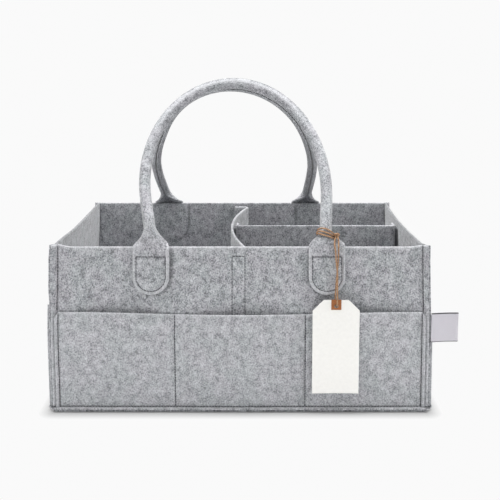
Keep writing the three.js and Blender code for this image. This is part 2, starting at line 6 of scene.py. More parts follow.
import bpy
import numpy as np
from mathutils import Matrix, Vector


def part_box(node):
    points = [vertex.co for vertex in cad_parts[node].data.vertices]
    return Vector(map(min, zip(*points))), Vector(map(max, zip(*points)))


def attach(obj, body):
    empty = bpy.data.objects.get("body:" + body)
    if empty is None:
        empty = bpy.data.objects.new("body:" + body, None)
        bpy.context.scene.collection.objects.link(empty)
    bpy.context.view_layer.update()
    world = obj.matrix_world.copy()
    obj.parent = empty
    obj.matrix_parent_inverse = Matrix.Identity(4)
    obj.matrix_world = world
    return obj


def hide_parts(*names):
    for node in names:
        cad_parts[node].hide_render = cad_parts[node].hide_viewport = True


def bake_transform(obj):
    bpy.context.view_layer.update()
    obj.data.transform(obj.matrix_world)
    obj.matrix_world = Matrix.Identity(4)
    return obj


bl_info = {
    "name": "Felt Nursery Caddy",
    "version": (1, 0, 0),
    "blender": (4, 5, 0),
    "location": "View3D > Sidebar > Caddy",
    "description": "Builds the soft pieces of a felt nursery caddy on its packed frame",
    "category": "Object",
}

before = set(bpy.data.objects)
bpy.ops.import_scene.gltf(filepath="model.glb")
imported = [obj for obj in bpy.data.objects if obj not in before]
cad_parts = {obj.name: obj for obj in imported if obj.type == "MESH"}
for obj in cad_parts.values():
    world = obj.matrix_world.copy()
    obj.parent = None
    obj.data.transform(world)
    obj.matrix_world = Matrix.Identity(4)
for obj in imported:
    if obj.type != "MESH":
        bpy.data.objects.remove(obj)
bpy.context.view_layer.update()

# Sizes of the frame's solids, in millimetres.
HALF_WIDTH, HALF_DEPTH = 183.0, 122.0
WALL_HEIGHT, POCKET_HEIGHT = 172.0, 105.0
FELT, BASE_FELT, LAYER_GAP = 2.8, 2.2, 0.3
POCKET_NEAR = FELT + LAYER_GAP
POCKET_FAR = POCKET_NEAR + FELT
BEND, FIN = 7.0, 4.5
DIAGONAL = math.sqrt(0.5)
FIN_REACH = BEND * (1 - DIAGONAL) + FIN * DIAGONAL
LIP_REACH, LIP_CUT = POCKET_FAR + 3.5, FIN_REACH + 0.6
POCKET_FOOT = 4.6
HALF_MIDDLE_POCKET = 64.5
LOOP_X, LOOP_WIDTH, HOOK_WIDTH, TAPE_LENGTH, TAPE_DROP, TAPE = -1.5, 16.0, 12.0, 120.0, 8.0, 1.0
TAPE_STACK = 2 * TAPE + 3 * LAYER_GAP
FLAP_BEND = 4.0
CROSS_TAPE_Y = FLAP_BEND + HOOK_WIDTH / 2
DIVIDER_FOOT, DIVIDER_TOP = 2.5, 168.0
TAB_SPACING, TAB_WIDTH, TAB_DROP = 175.0, 36.0, 48.0
TAB_RADIUS = TAB_WIDTH / 2
ROLL, GRIP_REACH, LEG, ARCH_WIDTH = 12.0, 197.0, 75.0, 188.0
ROLL_MIDDLE = (ROLL - FELT) / 2
ROLL_HALF_TURN = math.pi * (1 - 10 / 360)
SHOULDER, GATHER = 24.0, 20.0
HINGE_Y = -(HALF_DEPTH + POCKET_FAR)
GRIP_SLANT = math.atan(ROLL / 2 / GRIP_REACH)
LEAN = math.asin((-HINGE_Y - ROLL / 2 - 1) / math.hypot(GRIP_REACH, ROLL / 2)) - GRIP_SLANT
HINGE_Z = WALL_HEIGHT + POCKET_NEAR * math.tan(LEAN / 2)
KNOT_AT = np.array([97.0, -121.24, 183.93])
CARD_Y = -136.5
STRAND_DROP, HOLE_INSET, HOLE_LOOP = 63.4, 6.0, 3.0
TAG_SIDE = -0.9
LABEL_HEIGHT, LABEL_REACH, LABEL_FOLD, RIBBON = 30.0, 27.0, 0.75, 0.5
CARD_HALF, CARD_LENGTH, CARD_CLIP, CARD, PATCH = 23.5, 97.0, 11.0, 0.6, 0.4

# Each wall's turn about Z, half length, distance from the middle, pocket seams and loop tape.
SIDES = {
    "front": (0.0, HALF_WIDTH, HALF_DEPTH, (-HALF_MIDDLE_POCKET, HALF_MIDDLE_POCKET), LOOP_X),
    "right": (math.pi / 2, HALF_DEPTH, HALF_WIDTH, (0.0,), CROSS_TAPE_Y),
    "back": (math.pi, HALF_WIDTH, HALF_DEPTH, (-HALF_MIDDLE_POCKET, HALF_MIDDLE_POCKET), -LOOP_X),
    "left": (-math.pi / 2, HALF_DEPTH, HALF_WIDTH, (0.0,), None),
}


# Properties


def size_property(name, description, default):
    return bpy.props.FloatProperty(name=name, description=description, default=default, unit="LENGTH")


def colour_property(name, description, default):
    return bpy.props.FloatVectorProperty(
        name=name, description=description, default=default, size=4, subtype="COLOR", min=0, max=1
    )


class CaddySizes(bpy.types.PropertyGroup):
    """Sizes of the soft forms, which the solids leave plain."""

    bulge: size_property("Wall Bulge", "How far the long walls belly out", 0.006)
    right_bow: size_property("Right Bow", "How far the right wall is drawn in", 0.004)
    left_bow: size_property("Left Bow", "How far the left wall is drawn in", 0.001)
    left_spread: size_property("Left Spread", "How far the left end spreads at the foot", 0.0048)
    right_spread: size_property("Right Spread", "How far the right end spreads at the foot", 0.0052)
    gape: size_property("Pocket Gape", "How far a pocket's mouth stands off", 0.006)
    sag: size_property("Edge Sag", "Sag of a pocket's top edge", 0.0015)
    stitch: size_property("Stitch", "Length from one stitch to the next", 0.003)
    thread: size_property("Thread", "Thickness of the sewing thread", 0.0008)
    groove: size_property("Seam Groove", "How deep a seam draws the felt in", 0.0011)
    twine: size_property("Twine", "Thickness of the jute twine", 0.0015)


class CaddyColours(bpy.types.PropertyGroup):
    """Colours of the finishes, linear."""

    felt_light: colour_property("Felt Light", "Pale wool in the felt", (0.6, 0.61, 0.63, 1))
    felt_mid: colour_property("Felt Mid", "Body of the felt", (0.375, 0.395, 0.41, 1))
    felt_warm: colour_property("Felt Warm", "Body of the felt where it is warmer", (0.41, 0.405, 0.435, 1))
    felt_dark: colour_property("Felt Dark", "Dark wool in the felt", (0.15, 0.155, 0.165, 1))
    thread: colour_property("Thread", "Sewing thread", (0.07, 0.071, 0.078, 1))
    jute: colour_property("Jute", "Twine", (0.44, 0.265, 0.155, 1))
    card: colour_property("Card", "Tag", (0.9, 0.89, 0.86, 1))
    kraft: colour_property("Kraft", "Reinforcement on the tag", (0.36, 0.14, 0.055, 1))
    ribbon: colour_property("Ribbon", "Label", (0.62, 0.6, 0.65, 1))
    selvage: colour_property("Selvage", "Dark edge of the label", (0.05, 0.05, 0.055, 1))
    tape: colour_property("Tape", "Hook and loop tape", (0.24, 0.245, 0.26, 1))
    core: colour_property("Core", "Cord in the grips", (0.68, 0.66, 0.6, 1))
    floor: colour_property("Floor", "Stage", (0.955, 0.955, 0.955, 1))


# Array helpers


def size(name):
    """A size of the soft forms, in millimetres."""
    return getattr(bpy.context.scene.caddy_sizes, name) * 1000


def lengths_along(line):
    """The length run up to each point of a line."""
    return np.concatenate([[0], np.cumsum(np.linalg.norm(np.diff(line, axis=0), axis=1))])


def smooth_step(low, high, value):
    """3t^2 - 2t^3 of the share t of the way from low to high."""
    t = np.clip((value - low) / (high - low), 0, 1)
    return t * t * (3 - 2 * t)


def stations(low, high, step, marks=(), reach=2.5, fine=0.5):
    """Places from low to high a step apart, with finer ones at both ends and round each mark."""
    rim = np.array([0.0, 0.15, 0.4, 0.8, 1.4])
    near = np.arange(-reach, reach + fine / 2, fine)
    even = np.linspace(low, high, max(2, round((high - low) / step) + 1))
    places = np.concatenate([even, low + rim, high - rim] + [mark + near for mark in marks])
    places = np.unique(np.round(places[(places >= low) & (places <= high)], 3))
    keep = np.diff(places, append=places[-1] + 1) > 0.12
    keep[0] = True
    return places[keep]


FIN_CREEP, CORNER_LIFTS = 1.4, (2.4, 1.6)


def settle(points, level=None):
    """The felt's settling: each place of the box moves a little, the long walls outwards in the middle
    (cosine squared along, half sine up), the end walls inwards, both ends outwards below the rim, the left
    corner fins outwards above the pockets and the front corners up. With a level, every height moves as the
    box does there, so that a piece still slides straight up."""
    p = np.array(points, float)
    x, y, z = p[..., 0].copy(), p[..., 1].copy(), p[..., 2].copy()
    if level is not None:
        z[...] = level
    up = np.clip(z / WALL_HEIGHT, 0, 1)
    down = 1 - up
    along = np.cos(np.clip(x / HALF_WIDTH, -1, 1) * math.pi / 2) ** 2
    belly = size("bulge") * along * np.sin(math.pi * up)
    p[..., 1] += belly * (smooth_step(60, 110, y) - smooth_step(60, 110, -y))
    across = np.cos(np.clip(y / HALF_DEPTH, -1, 1) * math.pi / 2)
    drawn = across * smooth_step(0, 70, z) * (z < WALL_HEIGHT + 5)
    p[..., 0] -= size("right_bow") * drawn * smooth_step(130, 165, x)
    p[..., 0] += size("left_bow") * drawn * across * smooth_step(130, 165, -x)
    left = size("left_spread") * (0.22 + 0.78 * smooth_step(0, 0.6, down))
    right = size("right_spread") * (0.24 + 0.38 * smooth_step(0, 0.5, down) + 0.38 * down)
    p[..., 0] *= 1 + np.where(x < 0, left, right) / HALF_WIDTH
    fin = smooth_step(183.5, 188, -x) * smooth_step(112, 130, z)
    p[..., 0] -= FIN_CREEP * fin * (1 - 0.8 * smooth_step(158, WALL_HEIGHT, z))
    left, right = CORNER_LIFTS[0] * smooth_step(30, 112, -y), CORNER_LIFTS[1] * smooth_step(106, 121, -y)
    corner = smooth_step(168, 182, np.abs(x)) * smooth_step(120, WALL_HEIGHT, z)
    p[..., 2] += np.where(x < 0, left, right) * corner
    return p


def turned(points, angle):
    """Points turned about Z."""
    c, s = math.cos(angle), math.sin(angle)
    x, y = points[..., 0], points[..., 1]
    return np.stack([c * x - s * y, s * x + c * y, points[..., 2]], -1)


def unit(v):
    return v / np.maximum(np.linalg.norm(v, axis=-1, keepdims=True), 1e-12)


def grid_quads(index, wrap_rows=False, wrap_columns=False):
    """Four-cornered faces over a grid of vertex numbers."""
    if wrap_rows:
        index = np.concatenate([index, index[:1]], 0)
    if wrap_columns:
        index = np.concatenate([index, index[:, :1]], 1)
    corners = (index[:-1, :-1], index[1:, :-1], index[1:, 1:], index[:-1, 1:])
    return np.stack(corners, -1).reshape(-1, 4)


def edge_tone(inset):
    """How pale the felt is at a distance in from its cut edge: partly its paler cut fibres, partly a painted
    highlight of the light on the edge.
    """
    return 1 - smooth_step(0.2, 3.0, inset)


def felt_shell(
    point, s, t, thick=FELT, soft=1.2, groove=None, normal_point=None, shift=(0.0, 0.0), pale=None, pale_ends=0.0
):
    """A sheet of felt round the middle surface point(s, t): both faces lie half a thickness off along
    the surface normal, less a quarter-round at the cut edges and less the seam grooves on the front.
    Returns vertices, faces, flat felt coordinates and how pale each vertex is, painted shade below nought:
    by default its top edge is pale, partly cut fibres and partly painted highlight, unless pale(s, t) says
    otherwise, and both ends are at least as pale as the share given for them."""
    S, T = np.meshgrid(s, t, indexing="ij")
    middle = point(S, T)
    base = middle if normal_point is None else normal_point(S, T)
    normal = unit(np.cross(np.gradient(base, s, axis=0), np.gradient(base, t, axis=1)))
    inset_s, inset_t = np.minimum(s - s[0], s[-1] - s), np.minimum(t - t[0], t[-1] - t)

    def rounding(inset):
        return soft - np.sqrt(np.maximum(soft**2 - (soft - np.minimum(inset, soft)) ** 2, 0))

    full = thick(S, T) if callable(thick) else np.full(S.shape, thick)
    half = np.maximum(full / 2 - rounding(inset_s)[:, None] - rounding(inset_t)[None, :], 0.08 * full)
    cut = groove(S, T) if groove else 0.0
    front = middle + normal * (half - cut)[..., None]
    back = middle - normal * half[..., None]
    count = S.size
    index = np.arange(count).reshape(S.shape)
    loop = np.concatenate([index[:-1, 0], index[-1, :-1], index[:0:-1, -1], index[0, :0:-1]])
    ahead = np.roll(loop, -1)
    rim = np.stack([loop, loop + count, ahead + count, ahead], -1)
    faces = np.concatenate([grid_quads(index), grid_quads(index)[:, ::-1] + count, rim])
    flat = np.stack([S + shift[0], T + shift[1]], -1).reshape(-1, 2)
    vertices = np.concatenate([front.reshape(-1, 3), back.reshape(-1, 3)])
    edge = edge_tone(t[-1] - T)
    tone = edge if pale is None else pale(S, T)
    # Paler along both ends of the sheet, by the given share.
    ends = pale_ends * (1 - smooth_step(0.2, 2.2, inset_s))[:, None]
    faced = (tone, np.minimum(0.25 * edge, tone))
    tones = [np.where(ends > 0, np.maximum(one, ends), one).ravel() for one in faced]
    return vertices, faces, np.concatenate([flat, flat]), np.concatenate(tones)


def tube_shell(path, radius, sides, across=None, twist=0.0, plies=0, ply_depth=0.0):
    """A tube round a path: circles square to it, whose radius swells by a cosine of the angle for each
    ply and turns along the path, so that twisted strands show. Ends close in a low cone."""
    along = unit(np.gradient(path, axis=0))
    if across is None:
        across = np.cross(np.gradient(along, axis=0), along)
    first = unit(np.cross(along, across))
    second = np.cross(along, first)
    length = lengths_along(path)
    turn = np.arange(sides) * 2 * math.pi / sides + 0 * length[:, None]
    r = radius * (1 + ply_depth * np.cos(plies * (turn - twist * length[:, None])))
    ring = first[:, None] * np.cos(turn)[..., None] + second[:, None] * np.sin(turn)[..., None]
    body = path[:, None] + ring * r[..., None]
    cone = radius * 0.3
    vertices = np.concatenate([body.reshape(-1, 3), [path[0] - along[0] * cone, path[-1] + along[-1] * cone]])
    index = np.arange(turn.size).reshape(-1, sides)
    start, last = index[0], index[-1]
    quads = grid_quads(index, wrap_columns=True)
    faces = [
        quads,
        np.stack([np.roll(start, -1), start, np.full(sides, turn.size)], -1),
        np.stack([last, np.roll(last, -1), np.full(sides, turn.size + 1)], -1),
    ]
    uv = np.stack([turn * radius, length[:, None] + 0 * turn], -1).reshape(-1, 2)
    a, b, c = (vertices[quads[:, i]] for i in range(3))
    if np.einsum("ij,ij->", a, np.cross(b, c)) < 0:
        faces = [f[:, ::-1] for f in faces]
    return vertices, faces, np.concatenate([uv, [[0, 0], [0, length[-1]]]])


def smooth_path(points, count):
    """A natural cubic spline through points, over their chord lengths, at even steps."""
    p = np.asarray(points, float)
    knots = lengths_along(p)
    h = np.diff(knots)
    n = len(p)
    system, right = np.eye(n), np.zeros((n, 3))
    i = np.arange(1, n - 1)
    system[i, i - 1], system[i, i], system[i, i + 1] = h[:-1], 2 * (h[:-1] + h[1:]), h[1:]
    slope = np.diff(p, axis=0) / h[:, None]
    right[1:-1] = 6 * np.diff(slope, axis=0)
    bend = np.linalg.solve(system, right)
    at = np.linspace(0, knots[-1], count)
    k = np.clip(np.searchsorted(knots, at, side="right") - 1, 0, n - 2)
    a, b, w = (knots[k + 1] - at)[:, None], (at - knots[k])[:, None], h[k][:, None]
    cubic = (bend[k] * a**3 + bend[k + 1] * b**3) / (6 * w)
    return cubic + (p[k] / w - bend[k] * w / 6) * a + (p[k + 1] / w - bend[k + 1] * w / 6) * b


STITCH_FILL, THREAD_RISE = 0.95, 0.2


def stitch_shell(points, tangents, normals, length, width):
    """Stitches as small rounded grains: a six-sided spindle of three rings and two tips is carried to
    every point, its length along the seam and its flat side on the felt."""
    ring = np.arange(6) * math.pi / 3
    place = np.array([-0.36, 0.0, 0.36])
    girth = np.array([0.75, 1.0, 0.75])
    x = np.repeat(place, 6)
    y = (girth[:, None] * np.cos(ring)).ravel()
    z = (girth[:, None] * np.sin(ring)).ravel()
    x, y, z = (np.append(v, e) for v, e in ((x, [-0.5, 0.5]), (y, [0, 0]), (z, [0, 0])))
    side = np.cross(normals, tangents)
    p = points[:, None] + tangents[:, None] * (x * length)[:, None] + side[:, None] * (y * width / 2)[:, None]
    p = p + normals[:, None] * (z * width / 2)[:, None]
    index = np.arange(18).reshape(3, 6)
    quads = grid_quads(index, wrap_columns=True)[:, ::-1]
    ahead = np.roll(index, -1, axis=1)
    tips = np.concatenate(
        [
            np.stack([index[0], ahead[0], np.full(6, 18)], -1)[:, ::-1],
            np.stack([ahead[2], index[2], np.full(6, 19)], -1)[:, ::-1],
        ]
    )
    base = np.arange(len(points))[:, None, None] * 20
    faces = [(quads[None] + base).reshape(-1, 4), (tips[None] + base).reshape(-1, 3)]
    vertices = p.reshape(-1, 3)
    return vertices, faces, vertices[:, [0, 2]]


def along_line(start, end, pitch):
    """Middles of stitches from start to end, as an array of pairs."""
    start, end = np.asarray(start, float), np.asarray(end, float)
    count = max(1, round(float(np.linalg.norm(end - start)) / pitch))
    share = (np.arange(count) + 0.5) / count
    return start + (end - start) * share[:, None]


def surface_stitches(point, seams):
    """Stitches along straight seams in the coordinates of a surface, lying in the groove along its
    normal, which comes from small differences of the surface."""
    pitch, thread = size("stitch"), size("thread")
    runs = [along_line(a, b, pitch) for a, b, _ in seams]
    counts = [len(run) for run in runs]
    ways = unit(np.repeat([np.subtract(b, a) for a, b, _ in seams], counts, axis=0).astype(float))
    weights = np.repeat([weight for _, _, weight in seams], counts)
    lift = FELT / 2 - size("groove") * weights + thread * THREAD_RISE
    s, t = np.concatenate(runs).T
    e = 0.05
    ds = (point(s + e, t) - point(s - e, t)) / (2 * e)
    dt = (point(s, t + e) - point(s, t - e)) / (2 * e)
    normals = unit(np.cross(ds, dt))
    tangents = unit(ds * ways[:, :1] + dt * ways[:, 1:])
    return stitch_shell(point(s, t) + normals * lift[:, None], tangents, normals, pitch * STITCH_FILL, thread)


def seam_marks(seams, axis):
    """Where the seams lie that run square to an axis."""
    return [a[axis] for a, b, _ in seams if a[axis] == b[axis]]


def seam_groove(seams, width=0.85):
    """The groove of sewn lines: the depth times a bell curve of the distance to each line."""

    def cut(S, T):
        total = np.zeros(S.shape)
        for a, b, weight in seams:
            a, b = np.asarray(a, float), np.asarray(b, float)
            way = b - a
            share = np.clip(((S - a[0]) * way[0] + (T - a[1]) * way[1]) / (way @ way), 0, 1)
            away = np.hypot(S - a[0] - share * way[0], T - a[1] - share * way[1])
            total = np.maximum(total, weight * np.exp(-((away / (width * weight)) ** 2)))
        return size("groove") * total

    return cut


# Pieces


def add_piece(name, shells, look, body=None, nodes=(), settled=False, level=None):
    """One mesh object at the origin from shells of (vertices, faces, flat coordinates, tones) in
    millimetres, with a named finish, riding on a body and standing for the nodes it replaces."""
    vertices, uvs, edges, corners, sides = [], [], [], [], []
    start = 0
    for shell_vertices, faces, uv, *edge in shells:
        vertices.append(shell_vertices)
        uvs.append(uv)
        edges.append(edge[0] if edge else np.zeros(len(uv)))
        for f in faces if isinstance(faces, list) else [faces]:
            corners.append((f + start).ravel())
            sides.append(np.full(len(f), f.shape[1]))
        start += len(shell_vertices)
    vertices, uvs = np.concatenate(vertices), np.concatenate(uvs) * 0.001
    corners, sides = np.concatenate(corners), np.concatenate(sides)
    if settled:
        vertices = settle(vertices, level)
    mesh = bpy.data.meshes.new(name)
    mesh.vertices.add(len(vertices))
    mesh.vertices.foreach_set("co", (vertices * 0.001).astype(np.float32).ravel())
    mesh.loops.add(len(corners))
    mesh.loops.foreach_set("vertex_index", corners.astype(np.int32))
    mesh.polygons.add(len(sides))
    mesh.polygons.foreach_set("loop_start", (np.cumsum(sides) - sides).astype(np.int32))
    mesh.polygons.foreach_set("use_smooth", np.ones(len(sides), bool))
    layer = mesh.uv_layers.new(name="flat")
    layer.data.foreach_set("uv", uvs[corners].astype(np.float32).ravel())
    # The edge attribute: pale cut edges and painted highlights above nought, painted shade below nought.
    mask = mesh.attributes.new("edge", "FLOAT", "POINT")
    mask.data.foreach_set("value", np.concatenate(edges).astype(np.float32))
    mesh.update(calc_edges=True)
    if mesh.validate():
        raise RuntimeError(f"{name}: the mesh has faulty faces")
    mesh.materials.append(finish(look))
    piece = bpy.data.objects.new(name, mesh)
    bpy.context.scene.collection.objects.link(piece)
    if body:
        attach(piece, body)
    if nodes:
        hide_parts(*nodes)
    return piece


# Finishes


def add_node(tree, kind, inputs=None, **properties):
    """A node with its properties set and its inputs linked to a socket or set to a constant."""
    node = tree.nodes.new(kind)
    for key, value in properties.items():
        setattr(node, key, value)
    for key, value in (inputs or {}).items():
        if isinstance(value, bpy.types.NodeSocket):
            tree.links.new(value, node.inputs[key])
        else:
            node.inputs[key].default_value = value
    return node


def math_node(tree, operation, *values):
    """The result of one Math node over values or sockets."""
    return add_node(tree, "ShaderNodeMath", dict(enumerate(values)), operation=operation).outputs[0]


def weighted(tree, *terms):
    """The sum of values, each times its share."""
    total = 0.0
    for value, share in terms:
        total = math_node(tree, "MULTIPLY_ADD", value, share, total)
    return total


def map_range(tree, value, low, high, to_low=0.0, to_high=1.0):
    """A value carried from one range to another and kept inside it."""
    inputs = dict(enumerate((value, low, high, to_low, to_high)))
    return add_node(tree, "ShaderNodeMapRange", inputs).outputs[0]


def mix_colours(tree, factor, first, second, blend="MIX"):
    """Two colours mixed by a factor."""
    inputs = {0: factor, 6: first, 7: second}
    return add_node(tree, "ShaderNodeMix", inputs, data_type="RGBA", blend_type=blend).outputs[2]


def scaled(tree, vector, scale):
    """Coordinates times a scale for each axis."""
    return add_node(tree, "ShaderNodeMapping", {"Vector": vector, "Scale": scale}).outputs[0]


def noise(tree, vector, scale, detail=2.0, roughness=0.5):
    """A noise texture's value at a scale."""
    inputs = {"Vector": vector, "Scale": scale, "Detail": detail, "Roughness": roughness}
    return add_node(tree, "ShaderNodeTexNoise", inputs).outputs["Fac"]


BLOTCHES, SPECKS, FUZZ, WARMTH = 130.0, 640.0, 1500.0, 45.0
FIBRE_SIZE, FIBRE_TURNS = (0.0045, 0.0009, 1.0), (0.3, 1.1, 1.9, 2.7)
# How far Edge above nought pales the wool (pale cut edges and painted highlights), and how far Edge below
# nought darkens it (painted shade).
EDGE_PALE_AND_HIGHLIGHT, PAINTED_SHADE_DEPTH = 0.45, 0.3


def melange_group():
    """Melange wool: blotches, specks and crossing fibres choose between dark, middle and pale wool, and
    the same fibres raise the surface; it is paler where Edge is above nought, for pale cut edges and painted
    highlights, and darker where it is below, which is painted shade.
    Coordinates are metres of flat felt."""
    group = bpy.data.node_groups.new("Melange Wool", "ShaderNodeTree")
    sockets = [("INPUT", "Vector", "Vector")]
    sockets += [("INPUT", title, "Color") for title in ("Light", "Mid", "Warm", "Dark")]
    sockets += [("INPUT", "Edge", "Float"), ("OUTPUT", "Color", "Color"), ("OUTPUT", "Height", "Float")]
    for way, title, kind in sockets:
        group.interface.new_socket(title, in_out=way, socket_type=f"NodeSocket{kind}")
    vector, light, mid, warm, dark, edge = group.nodes.new("NodeGroupInput").outputs[:6]
    fibres = []
    for turn in FIBRE_TURNS:
        place = {"Location": (turn, turn * 0.7, 0), "Rotation": (0, 0, turn), "Scale": FIBRE_SIZE}
        mapping = add_node(group, "ShaderNodeMapping", {"Vector": vector, **place}, vector_type="TEXTURE")
        fibres.append(noise(group, mapping.outputs[0], 1.0, 1.0))
    streak, pale = (
        math_node(group, kind, math_node(group, kind, *fibres[:2]), math_node(group, kind, *fibres[2:]))
        for kind in ("MINIMUM", "MAXIMUM")
    )
    blotch, speck = (noise(group, vector, scale, 3.0, 0.6) for scale in (BLOTCHES, SPECKS))
    total = weighted(group, (blotch, 0.28), (speck, 0.36), (streak, 0.36), (pale, 0.3))
    spread = map_range(group, total, 0.548, 0.762)
    body = mix_colours(group, map_range(group, noise(group, vector, WARMTH), 0.38, 0.62), mid, warm)
    wool = mix_colours(group, map_range(group, spread, 0.0, 0.5), dark, body)
    wool = mix_colours(group, map_range(group, spread, 0.5, 1.0), wool, light)
    # Pale cut edges and painted highlights where Edge is above nought, painted shade where it is below.
    wool = mix_colours(group, math_node(group, "MULTIPLY", edge, EDGE_PALE_AND_HIGHLIGHT), wool, light)
    kept = math_node(group, "MULTIPLY_ADD", math_node(group, "MINIMUM", edge, 0.0), PAINTED_SHADE_DEPTH, 1.0)
    shaded = add_node(group, "ShaderNodeVectorMath", {0: wool, "Scale": kept}, operation="SCALE")
    height = weighted(group, (noise(group, vector, FUZZ, 2.0, 0.6), 0.5), (pale, 0.8))
    add_node(group, "NodeGroupOutput", {"Color": shaded.outputs[0], "Height": height})
    return group


def new_material(name, **values):
    """A material whose Principled shader has these constant values; returns it, its tree and shader."""
    material = bpy.data.materials.new(name)
    material.use_nodes = True
    shader = material.node_tree.nodes["Principled BSDF"]
    for key, value in values.items():
        shader.inputs[key.replace("_", " ")].default_value = value
    return material, material.node_tree, shader


def flat_coordinates(tree):
    return add_node(tree, "ShaderNodeUVMap", uv_map="flat").outputs[0]


def dress(tree, shader, tint, height, distance, strength=1.0):
    """A colour to the shader, and a height through a Bump node to its normal."""
    inputs = {"Height": height, "Distance": distance, "Strength": strength}
    tree.links.new(tint, shader.inputs["Base Color"])
    tree.links.new(add_node(tree, "ShaderNodeBump", inputs).outputs[0], shader.inputs["Normal"])


def felt_finish(colours, group):
    """Grey melange felt: matte, with a soft sheen of loose fibres."""
    material, tree, shader = new_material(
        "felt", Roughness=0.95, Sheen_Weight=0.5, Sheen_Roughness=0.5, Specular_IOR_Level=0.2
    )
    # The edge attribute: pale cut edges and painted highlights above nought, painted shade below nought.
    edge = add_node(tree, "ShaderNodeAttribute", attribute_name="edge").outputs["Fac"]
    inputs = {"Vector": scaled(tree, flat_coordinates(tree), (1.05, 0.8, 1.0)), "Edge": edge}
    for title in ("Light", "Mid", "Warm", "Dark"):
        inputs[title] = getattr(colours, f"felt_{title.lower()}")
    wool = add_node(tree, "ShaderNodeGroup", inputs, node_tree=group)
    dress(tree, shader, wool.outputs["Color"], wool.outputs["Height"], 0.0006, 0.6)
    return material


def fibre_finish(name, tint, scale, contrast, distance, roughness):
    """A fibrous finish: noise drawn out along the piece darkens the tint and raises the surface."""
    material, tree, shader = new_material(name, Roughness=roughness, Specular_IOR_Level=0.25)
    value = noise(tree, scaled(tree, flat_coordinates(tree), scale), 1.0, 3.0, 0.6)
    dark, pale = ((*(min(c * k, 1) for c in tint[:3]), 1) for k in (1 - contrast, 1 + contrast * 0.6))
    dress(tree, shader, mix_colours(tree, map_range(tree, value, 0.3, 0.7), dark, pale), value, distance)
    return material


WARP, WEFT, SELVAGE = 0.0007, 0.0005, 0.001


def ribbon_finish(colours):
    """Woven ribbon: fine crossing threads by two sine waves, with dark threads along both edges."""
    material, tree, shader = new_material("ribbon", Roughness=0.55, Sheen_Weight=0.2)
    along, across = add_node(tree, "ShaderNodeSeparateXYZ", {0: flat_coordinates(tree)}).outputs[:2]
    waves = [
        math_node(tree, "SINE", math_node(tree, "MULTIPLY", place, 2 * math.pi / width))
        for place, width in ((along, WARP), (across, WEFT))
    ]
    weave = math_node(tree, "MULTIPLY", *waves)
    half = LABEL_HEIGHT * 0.0005
    edge = math_node(tree, "ABSOLUTE", math_node(tree, "SUBTRACT", across, half))
    mask = map_range(tree, edge, half - SELVAGE, half - 0.6 * SELVAGE)
    tone = map_range(tree, weave, -1.0, 1.0, 0.82, 1.06)
    cloth = mix_colours(tree, 1.0, colours.ribbon, tone, "MULTIPLY")
    dress(tree, shader, mix_colours(tree, mask, cloth, colours.selvage), weave, 0.0001, 0.5)
    return material


# Fibrous finishes: the noise's scale per metre, contrast, bump depth and roughness.
FIBRES = {
    "thread": ((1500, 1500, 1500), 0.4, 0.0001, 0.9),
    "jute": ((800, 330, 1), 0.75, 0.0003, 0.9),
    "card": ((300, 300, 1), 0.03, 0.00004, 0.6),
    "kraft": ((900, 500, 1), 0.2, 0.00008, 0.75),
    "tape": ((1400, 1400, 1), 0.5, 0.0006, 0.9),
    "core": ((900, 250, 1), 0.2, 0.0004, 0.9),
}
FINISHES = {}


def finish(name):
    """The named finish, built once from the scene's colours."""
    if not FINISHES:
        colours = bpy.context.scene.caddy_colours
        FINISHES["felt"] = felt_finish(colours, melange_group())
        FINISHES["ribbon"] = ribbon_finish(colours)
        for title, look in FIBRES.items():
            FINISHES[title] = fibre_finish(title, getattr(colours, title), *look)
    return FINISHES[name]


# Walls, pockets and seams


# Every felt is cut from its own place on one wide sheet, so that no two show the same wool.
SHEET, HALF_SHEET, LIP_SHEET = 1000.0, 450.0, 300.0
# A layer's bottom lip: its near face, the height and thickness of its edge, and how far it falls short.
WALL_LIP, POCKET_LIP = (0.0, 1.85, 0.7, 1.6), (POCKET_NEAR, 3.1, 1.8, 0.0)
BOTTOM_SEAM, CREASE, POCKET_CREASE, LIP_RADIUS = 5.0, 3.2, 1.6, 1.5
TAPE_HEM, FLAP_HEM, TAPE_ROUND = 1.6, 2.2, 1.5
# How wide and deep each kind of seam draws the felt in, against a usual one.
TAPE_SEAM, FLAP_SEAM, FOOT_SEAM, POCKET_SEAM, WALL_CORNER, POCKET_CORNER = 0.8, 0.5, 0.8, 1.3, 1.5, 2.0
# Paler or darker felt: TAB_DARK is the depth of the painted shadow beside the tabs, POCKET_PALE the painted
# light that makes the pockets paler, MOUTH_PALE a pocket's pale top edge, partly cut fibres and partly
# painted highlight.
TAB_DARK, FIN_PALE, POCKET_PALE, MOUTH_PALE, FIN_END_PALE = 1.3, 0.7, 0.3, 0.8, 0.9
TAPE_SEAM_TOP = WALL_HEIGHT - TAPE_DROP - TAPE_HEM
TAPE_SEAM_LOW = WALL_HEIGHT - TAPE_DROP - TAPE_LENGTH + TAPE_HEM
END_SAG, FIN_SLANT, LEFT_RISE, MOUTH_LIFT = 0.4, 4.5, 7.0, 0.31
CORNER_SEWN, FIN_PRESSED, RIM_CURL, FRONT_SHORT = 0.34, 1.0, 0.3, 2.0
BASE_SHORT, BASE_PRESSED = 1.3, 0.7
TAB_FOOT = WALL_HEIGHT - TAB_DROP
TAB_COLUMNS = [side * TAB_SPACING / 2 + x for side in (-1, 1) for x in range(-20, 21, 5)]
TAB_ROWS = [TAB_FOOT - 3 + z for z in range(0, 26, 5)]


def long_side(side):
    return SIDES[side][1] == HALF_WIDTH


def wall_run(side):
    """Half the straight run of a wall and half its whole length along the felt."""
    straight = SIDES[side][1] - BEND * math.tan(math.pi / 8) - LAYER_GAP * DIAGONAL
    return straight, straight + BEND * math.pi / 4 + FIN


